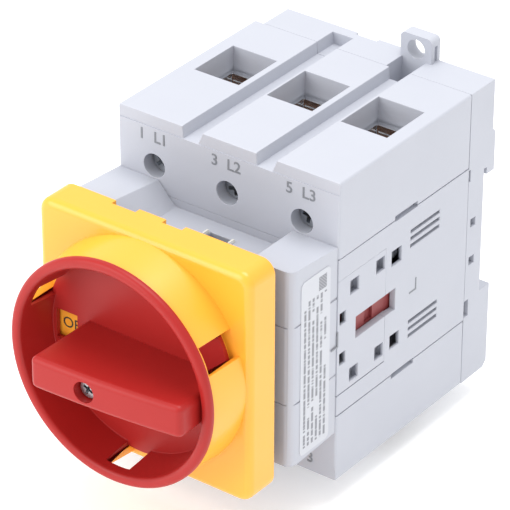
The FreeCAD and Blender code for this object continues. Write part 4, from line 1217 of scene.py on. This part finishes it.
@dataclass
class TerminalSet:
    """Both rows of clamps, and the terminal marks moulded above and below their screws; the marks get a
    darker grey as painted shade.
    """

    mark_height_mm: float = 3.2
    mark_rise_mm: float = 0.14
    mark_z_mm: float = 38.8
    load_drop_mm: float = 2.0
    cage_side_mm: float = 1.2
    cage_front_mm: float = 3.0
    cage_rear_mm: float = 2.0
    thread_mm: float = 3.02
    jaw_grooves: int = 5
    groove_pitch_mm: float = 2.0
    groove_half_mm: float = 0.35
    poles: list[TerminalPole] = field(default_factory=lambda: [
        TerminalPole(number, side) for side in ("line", "load") for number in range(1, POLE_COUNT + 1)])

    def cage(self) -> bpy.types.Object:
        """The box clamp, centred on the origin: a square ring with a threaded front and a ribbed jaw."""
        low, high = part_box("line_cage_1")
        half = (high - low) / 2
        piece = Bench.block("clamp_cage", -half, half)
        Bench.bevel_edges(piece, 1.0 * MM, 4, lambda e: abs(e.verts[0].co.z - e.verts[1].co.z) > 5.0 * MM)
        side, rear = half.x - self.cage_side_mm * MM, half.y - self.cage_rear_mm * MM
        hollow = Bench.block("cage_hollow", (-side, -half.y + self.cage_front_mm * MM, -half.z - MM),
                             (side, rear, half.z + MM))
        Bench.bevel_edges(hollow, 0.5 * MM, 2, lambda e: abs(e.verts[0].co.z - e.verts[1].co.z) > 5.0 * MM)
        screw_low, screw_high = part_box("line_screw_1")
        lift = (screw_low.z + screw_high.z) / 2 - (low.z + high.z) / 2
        wide, ahead, behind = self.thread_mm * MM, -half.y - MM, -half.y + 4.0 * MM
        bore = Bench.turned("cage_bore", [(0.0, ahead), (wide, ahead), (wide, behind), (0.0, behind)], 40)
        bore.matrix_world = Matrix.Translation((0.0, 0.0, lift))
        tools = [hollow, Bench.settle(bore)]
        end, reach, thick = side - 0.4 * MM, 0.3 * MM, self.groove_half_mm * MM
        for index in range(self.jaw_grooves):
            z = (index - (self.jaw_grooves - 1) / 2) * self.groove_pitch_mm * MM
            tools.append(Bench.block(f"jaw_groove_{index}", (-end, rear - reach, z - thick),
                                     (end, rear + reach, z + thick)))
        Bench.combine(piece, tools, "DIFFERENCE")
        Bench.soften(piece, 0.12 * MM, 2, 50.0)
        return piece

    def marks(self) -> list[bpy.types.Object]:
        """The raised terminal numbers on the front faces: 1 L1 and so on above, 2 T1 and so on below."""
        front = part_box("upper_terminal_block")[0].y
        turn = Matrix.Rotation(math.pi / 2, 4, "X")
        made = []
        for number in range(1, POLE_COUNT + 1):
            low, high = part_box(f"line_screw_{number}")
            x = (low.x + high.x) / 2
            for side, sign, first, second in (("line", 1.0, str(2 * number - 1), f"L{number}"),
                                              ("load", -1.0, str(2 * number), f"T{number}")):
                for part, words, shift in (("number", first, -4.0), ("phase", second, 2.2)):
                    drop = self.load_drop_mm if side == "load" else 0.0
                    height = sign * (self.mark_z_mm + drop) * MM
                    place = Matrix.Translation((x + shift * MM, front, height)) @ turn
                    made.append(Bench.lettering(f"{side}_mark_{part}_{number}", words,
                                                self.mark_height_mm * MM, self.mark_rise_mm * MM, place))
        return made

    def build(self, dresser: Dresser) -> None:
        """Makes the clamps, their screws and the marks.

        Args:
            dresser: Finishes the pieces.
        """
        cage = self.cage()
        screw = CrossHeadScrew(3.2, 4.0, 3.0, 26.5, 1.0, 2.3).build("clamp_screw")
        for pole in self.poles:
            pole.build_clamp(dresser, cage, screw)
        bpy.data.objects.remove(cage)
        bpy.data.objects.remove(screw)
        for mark in self.marks():
            dresser.dress(mark, Finish.GREY, "housing")
            # The marks' darker grey is painted shade, standing in for the shadows round their raised
            # strokes.
            mark.data.materials[0] = dresser.shop.mark


@dataclass
class SideDetail:
    """The label, two corner marks, the hooks beside the catch slot and the red indicator."""

    stroke_mm: float = 0.55
    rise_mm: float = 0.10
    corner_marks_mm: tuple[tuple[float, float, float, float], ...] = (
        (-36.2, -3.0, 3.8, 3.3), (-71.7, -3.3, 4.7, 3.1))
    catch_x_mm: tuple[float, float] = (-2.4, 5.9)
    catch_y_mm: tuple[float, float] = (-80.0, -77.4)
    valley_mm: float = 20.6
    flag_y_mm: tuple[float, float] = (-65.6, -44.4)
    flag_z_mm: tuple[float, float] = (-4.9, 2.5)
    notch_y_mm: tuple[float, float] = (-57.0, -53.4)

    def label(self) -> bpy.types.Object:
        """The rating label: a film with round corners, drawn from a thin block."""
        low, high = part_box("rating_label")
        piece = Bench.block("rating_label_film", low, high)
        Bench.bevel_edges(piece, 1.6 * MM, 5, lambda e: abs(e.verts[0].co.x - e.verts[1].co.x) > 0.1 * MM)
        Bench.bevel_edges(piece, 0.05 * MM, 1, lambda e: min(v.co.x for v in e.verts) > high.x - 1e-6)
        return piece

    def corner_mark(self, index: int, y_mm: float, z_mm: float, up_mm: float,
                    back_mm: float) -> bpy.types.Object:
        """One raised corner mark: a short upright with a foot towards the front."""
        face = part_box("contact_housing")[1].x
        stroke = self.stroke_mm * MM
        low = Vector((face - 0.1 * MM, y_mm * MM - stroke, z_mm * MM))
        high = Vector((face + self.rise_mm * MM, y_mm * MM, z_mm * MM + stroke))
        piece = Bench.block(f"side_mark_{index}", low, high)
        with Bench.editing(piece):
            Bench.pick(Pick.FACES, lambda f: f.normal.z > 0.9)
            rise = (0.0, 0.0, up_mm * MM - stroke)
            bpy.ops.mesh.extrude_region_move(TRANSFORM_OT_translate={"value": rise})
            Bench.pick(Pick.FACES, lambda f: f.normal.y < -0.9 and f.calc_center_median().z < high.z)
            foot = (0.0, stroke - back_mm * MM, 0.0)
            bpy.ops.mesh.extrude_region_move(TRANSFORM_OT_translate={"value": foot})
        Bench.soften(piece, 0.06 * MM, 1, 50.0)
        return piece

    def indicator(self) -> bpy.types.Object:
        """The position indicator behind the side window: a red flag with a dark notch in its middle."""
        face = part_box("contact_carrier")[1].x
        (y0, y1), (z0, z1) = self.flag_y_mm, self.flag_z_mm
        piece = Bench.block("position_flag", (face - 1.2 * MM, y0 * MM, z0 * MM),
                            (face + 0.25 * MM, y1 * MM, z1 * MM))
        with Bench.editing(piece):
            for y in self.notch_y_mm:
                Bench.score(1, y * MM)
            Bench.pick(Pick.FACES, lambda f: f.normal.x > 0.9
                       and self.notch_y_mm[0] < f.calc_center_median().y / MM < self.notch_y_mm[1])
            bpy.ops.mesh.extrude_region_move(TRANSFORM_OT_translate={"value": (-0.9 * MM, 0.0, 0.0)})
        Bench.soften(piece, 0.12 * MM, 2, 50.0)
        return piece

    def catch(self, index: int, x_mm: float) -> bpy.types.Object:
        """One of the two hooks beside the catch slot: a low block with a bevelled nose."""
        y0, y1 = self.catch_y_mm
        top = self.valley_mm
        piece = Bench.block(f"catch_hook_{index}", (x_mm * MM, y0 * MM, (top - 0.2) * MM),
                            ((x_mm + 0.9) * MM, y1 * MM, (top + 0.5) * MM))
        with Bench.editing(piece):
            Bench.pick(Pick.FACES, lambda f: f.normal.z > 0.9)
            bpy.ops.mesh.inset(thickness=0.15 * MM)
            bpy.ops.mesh.extrude_region_move(TRANSFORM_OT_translate={"value": (0.0, 0.0, 0.4 * MM)})
        Bench.soften(piece, 0.08 * MM, 2, 40.0)
        return piece

    def build(self, dresser: Dresser) -> None:
        """Makes the label, the marks, the catch hooks and the indicator.

        Args:
            dresser: Finishes the pieces.
        """
        dresser.dress(Bench.smooth(self.label()), Finish.FILM, "housing", ["rating_label"])
        for index, numbers in enumerate(self.corner_marks_mm):
            mark = Bench.smooth(self.corner_mark(index, *numbers))
            dresser.dress(mark, Finish.GREY, "housing")
            # Painted shade: the raised corner marks get the same darker grey as the terminal marks.
            mark.data.materials[0] = dresser.shop.mark
        for index, x_mm in enumerate(self.catch_x_mm):
            dresser.dress(Bench.smooth(self.catch(index, x_mm)), Finish.WHITE, "housing")
        dresser.dress(Bench.smooth(self.indicator()), Finish.CARRIER, "carrier")


@dataclass
class InnerWorks:
    """The pieces inside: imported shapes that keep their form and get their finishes."""

    finishes: dict[Finish, tuple[str, ...]] = field(default_factory=lambda: {
        Finish.RUBBER: ("shaft_seal", "panel_gasket"),
        Finish.ZINC: ("housing_screws", "base_screws", "arc_plates_line", "arc_plates_load", "drive_shaft"),
        Finish.SPRING: ("index_springs", "contact_springs", "din_latch_spring"),
        Finish.WHITE: ("shaft_bush", "index_wheel", "drive_cam"),
        Finish.CARRIER: ("contact_carrier",),
        Finish.COPPER: tuple(f"{kind}_{number}" for kind in ("contact_bridge", "line_bar", "load_bar")
                             for number in range(1, POLE_COUNT + 1)),
    })

    def build(self, dresser: Dresser) -> None:
        """Finishes every inner piece.

        Args:
            dresser: Finishes the pieces.
        """
        for finish, nodes in self.finishes.items():
            for node in nodes:
                dresser.keep(node, finish)
            LOG.info("%-26s %d packed pieces", finish.value, len(nodes))


@dataclass(frozen=True)
class SoftLamp:
    """A round area lamp that faces the origin."""

    name: str
    direction: tuple[float, float, float]
    distance: float
    size: float
    power: float

    def hang(self) -> None:
        """Puts the lamp in its place."""
        light = bpy.data.lights.new(self.name, "AREA")
        light.shape = "DISK"
        light.size = self.size
        light.energy = self.power
        lamp = bpy.data.objects.new(self.name, light)
        bpy.context.scene.collection.objects.link(lamp)
        direction = Vector(self.direction).normalized()
        turn = direction.to_track_quat("Z", "Y").to_matrix().to_4x4()
        lamp.matrix_world = Matrix.Translation(direction * self.distance) @ turn


@dataclass
class Studio:
    """The camera, the pale floor and the soft light."""

    azimuth: float = 36.643
    elevation: float = 30.878
    roll: float = 0.211
    distance: float = 0.926
    aim: tuple[float, float, float] = (0.00277, -0.06348, 0.00867)
    lens_mm: float = 248.8
    floor_drop_mm: float = 0.2
    surroundings: float = 1.0
    lamps: tuple[SoftLamp, ...] = (
        SoftLamp("key_light", (0.02, 0.06, 0.99), 1.1, 0.8, 7.8),
        SoftLamp("fill_light", (-0.42, -0.80, 0.43), 1.2, 0.9, 6.5))

    def camera(self) -> None:
        """Sets the camera on the viewing direction."""
        around, above = math.radians(self.azimuth), math.radians(self.elevation)
        level = math.cos(above)
        back = Vector((math.sin(around) * level, -math.cos(around) * level, math.sin(above)))
        right = Vector((math.cos(around), math.sin(around), 0.0))
        up = back.cross(right)
        tilt = math.radians(self.roll)
        right, up = (right * math.cos(tilt) + up * math.sin(tilt),
                     up * math.cos(tilt) - right * math.sin(tilt))
        place = Matrix((right, up, back)).transposed().to_4x4()
        place.translation = Vector(self.aim) + back * self.distance
        lens = bpy.data.cameras.new("studio_camera")
        lens.lens = self.lens_mm
        lens.sensor_width = 36.0
        lens.clip_start = 0.05
        camera = bpy.data.objects.new("studio_camera", lens)
        bpy.context.scene.collection.objects.link(camera)
        camera.matrix_world = place
        bpy.context.scene.camera = camera

    def floor(self) -> None:
        """A wide pale floor just under the lowest lug."""
        Bench.clear()
        height = CAD_BOX[0].z - self.floor_drop_mm * MM
        bpy.ops.mesh.primitive_plane_add(size=6.0, location=(0.0, 0.0, height))
        floor = bpy.context.object
        floor.name = "studio_floor"
        graph = Graph("pale_floor")
        tone = graph.noise(0.4, 2.0)
        colour = graph.blend(tone, (0.90, 0.90, 0.90), (0.87, 0.87, 0.87))
        floor.data.materials.append(graph.surface({
            "Base Color": colour, "Roughness": 0.8,
            "Emission Color": (1.0, 1.0, 1.0), "Emission Strength": 0.28}))
        Bench.settle(floor)

    def light(self) -> None:
        """White surroundings and the soft lamps."""
        world = bpy.data.worlds.new("white_room")
        world.use_nodes = True
        world.node_tree.nodes["Background"].inputs["Color"].default_value = (1.0, 1.0, 1.0, 1.0)
        world.node_tree.nodes["Background"].inputs["Strength"].default_value = self.surroundings
        bpy.context.scene.world = world
        for lamp in self.lamps:
            lamp.hang()

    def build(self) -> None:
        """Makes the camera, floor and light."""
        self.camera()
        self.floor()
        self.light()
        bpy.context.scene.view_settings.view_transform = "Standard"


def main() -> None:
    """Builds the whole switch and its studio."""
    logging.basicConfig(level=logging.INFO, format="%(message)s")
    Studio().build()
    dresser = Dresser(FinishShop())
    InnerWorks().build(dresser)
    for node in ("upper_terminal_block", "lower_terminal_block", "contact_housing", "mechanism_housing",
                 "front_housing", "rear_base", "din_latch"):
        MouldedPart(node).build(dresser)
    HandleAssembly().build(dresser)
    FrontPlate().build(dresser)
    TerminalSet().build(dresser)
    SideDetail().build(dresser)
    LOG.info("%d pieces dressed", dresser.count)


if __name__ == "__main__":
    main()
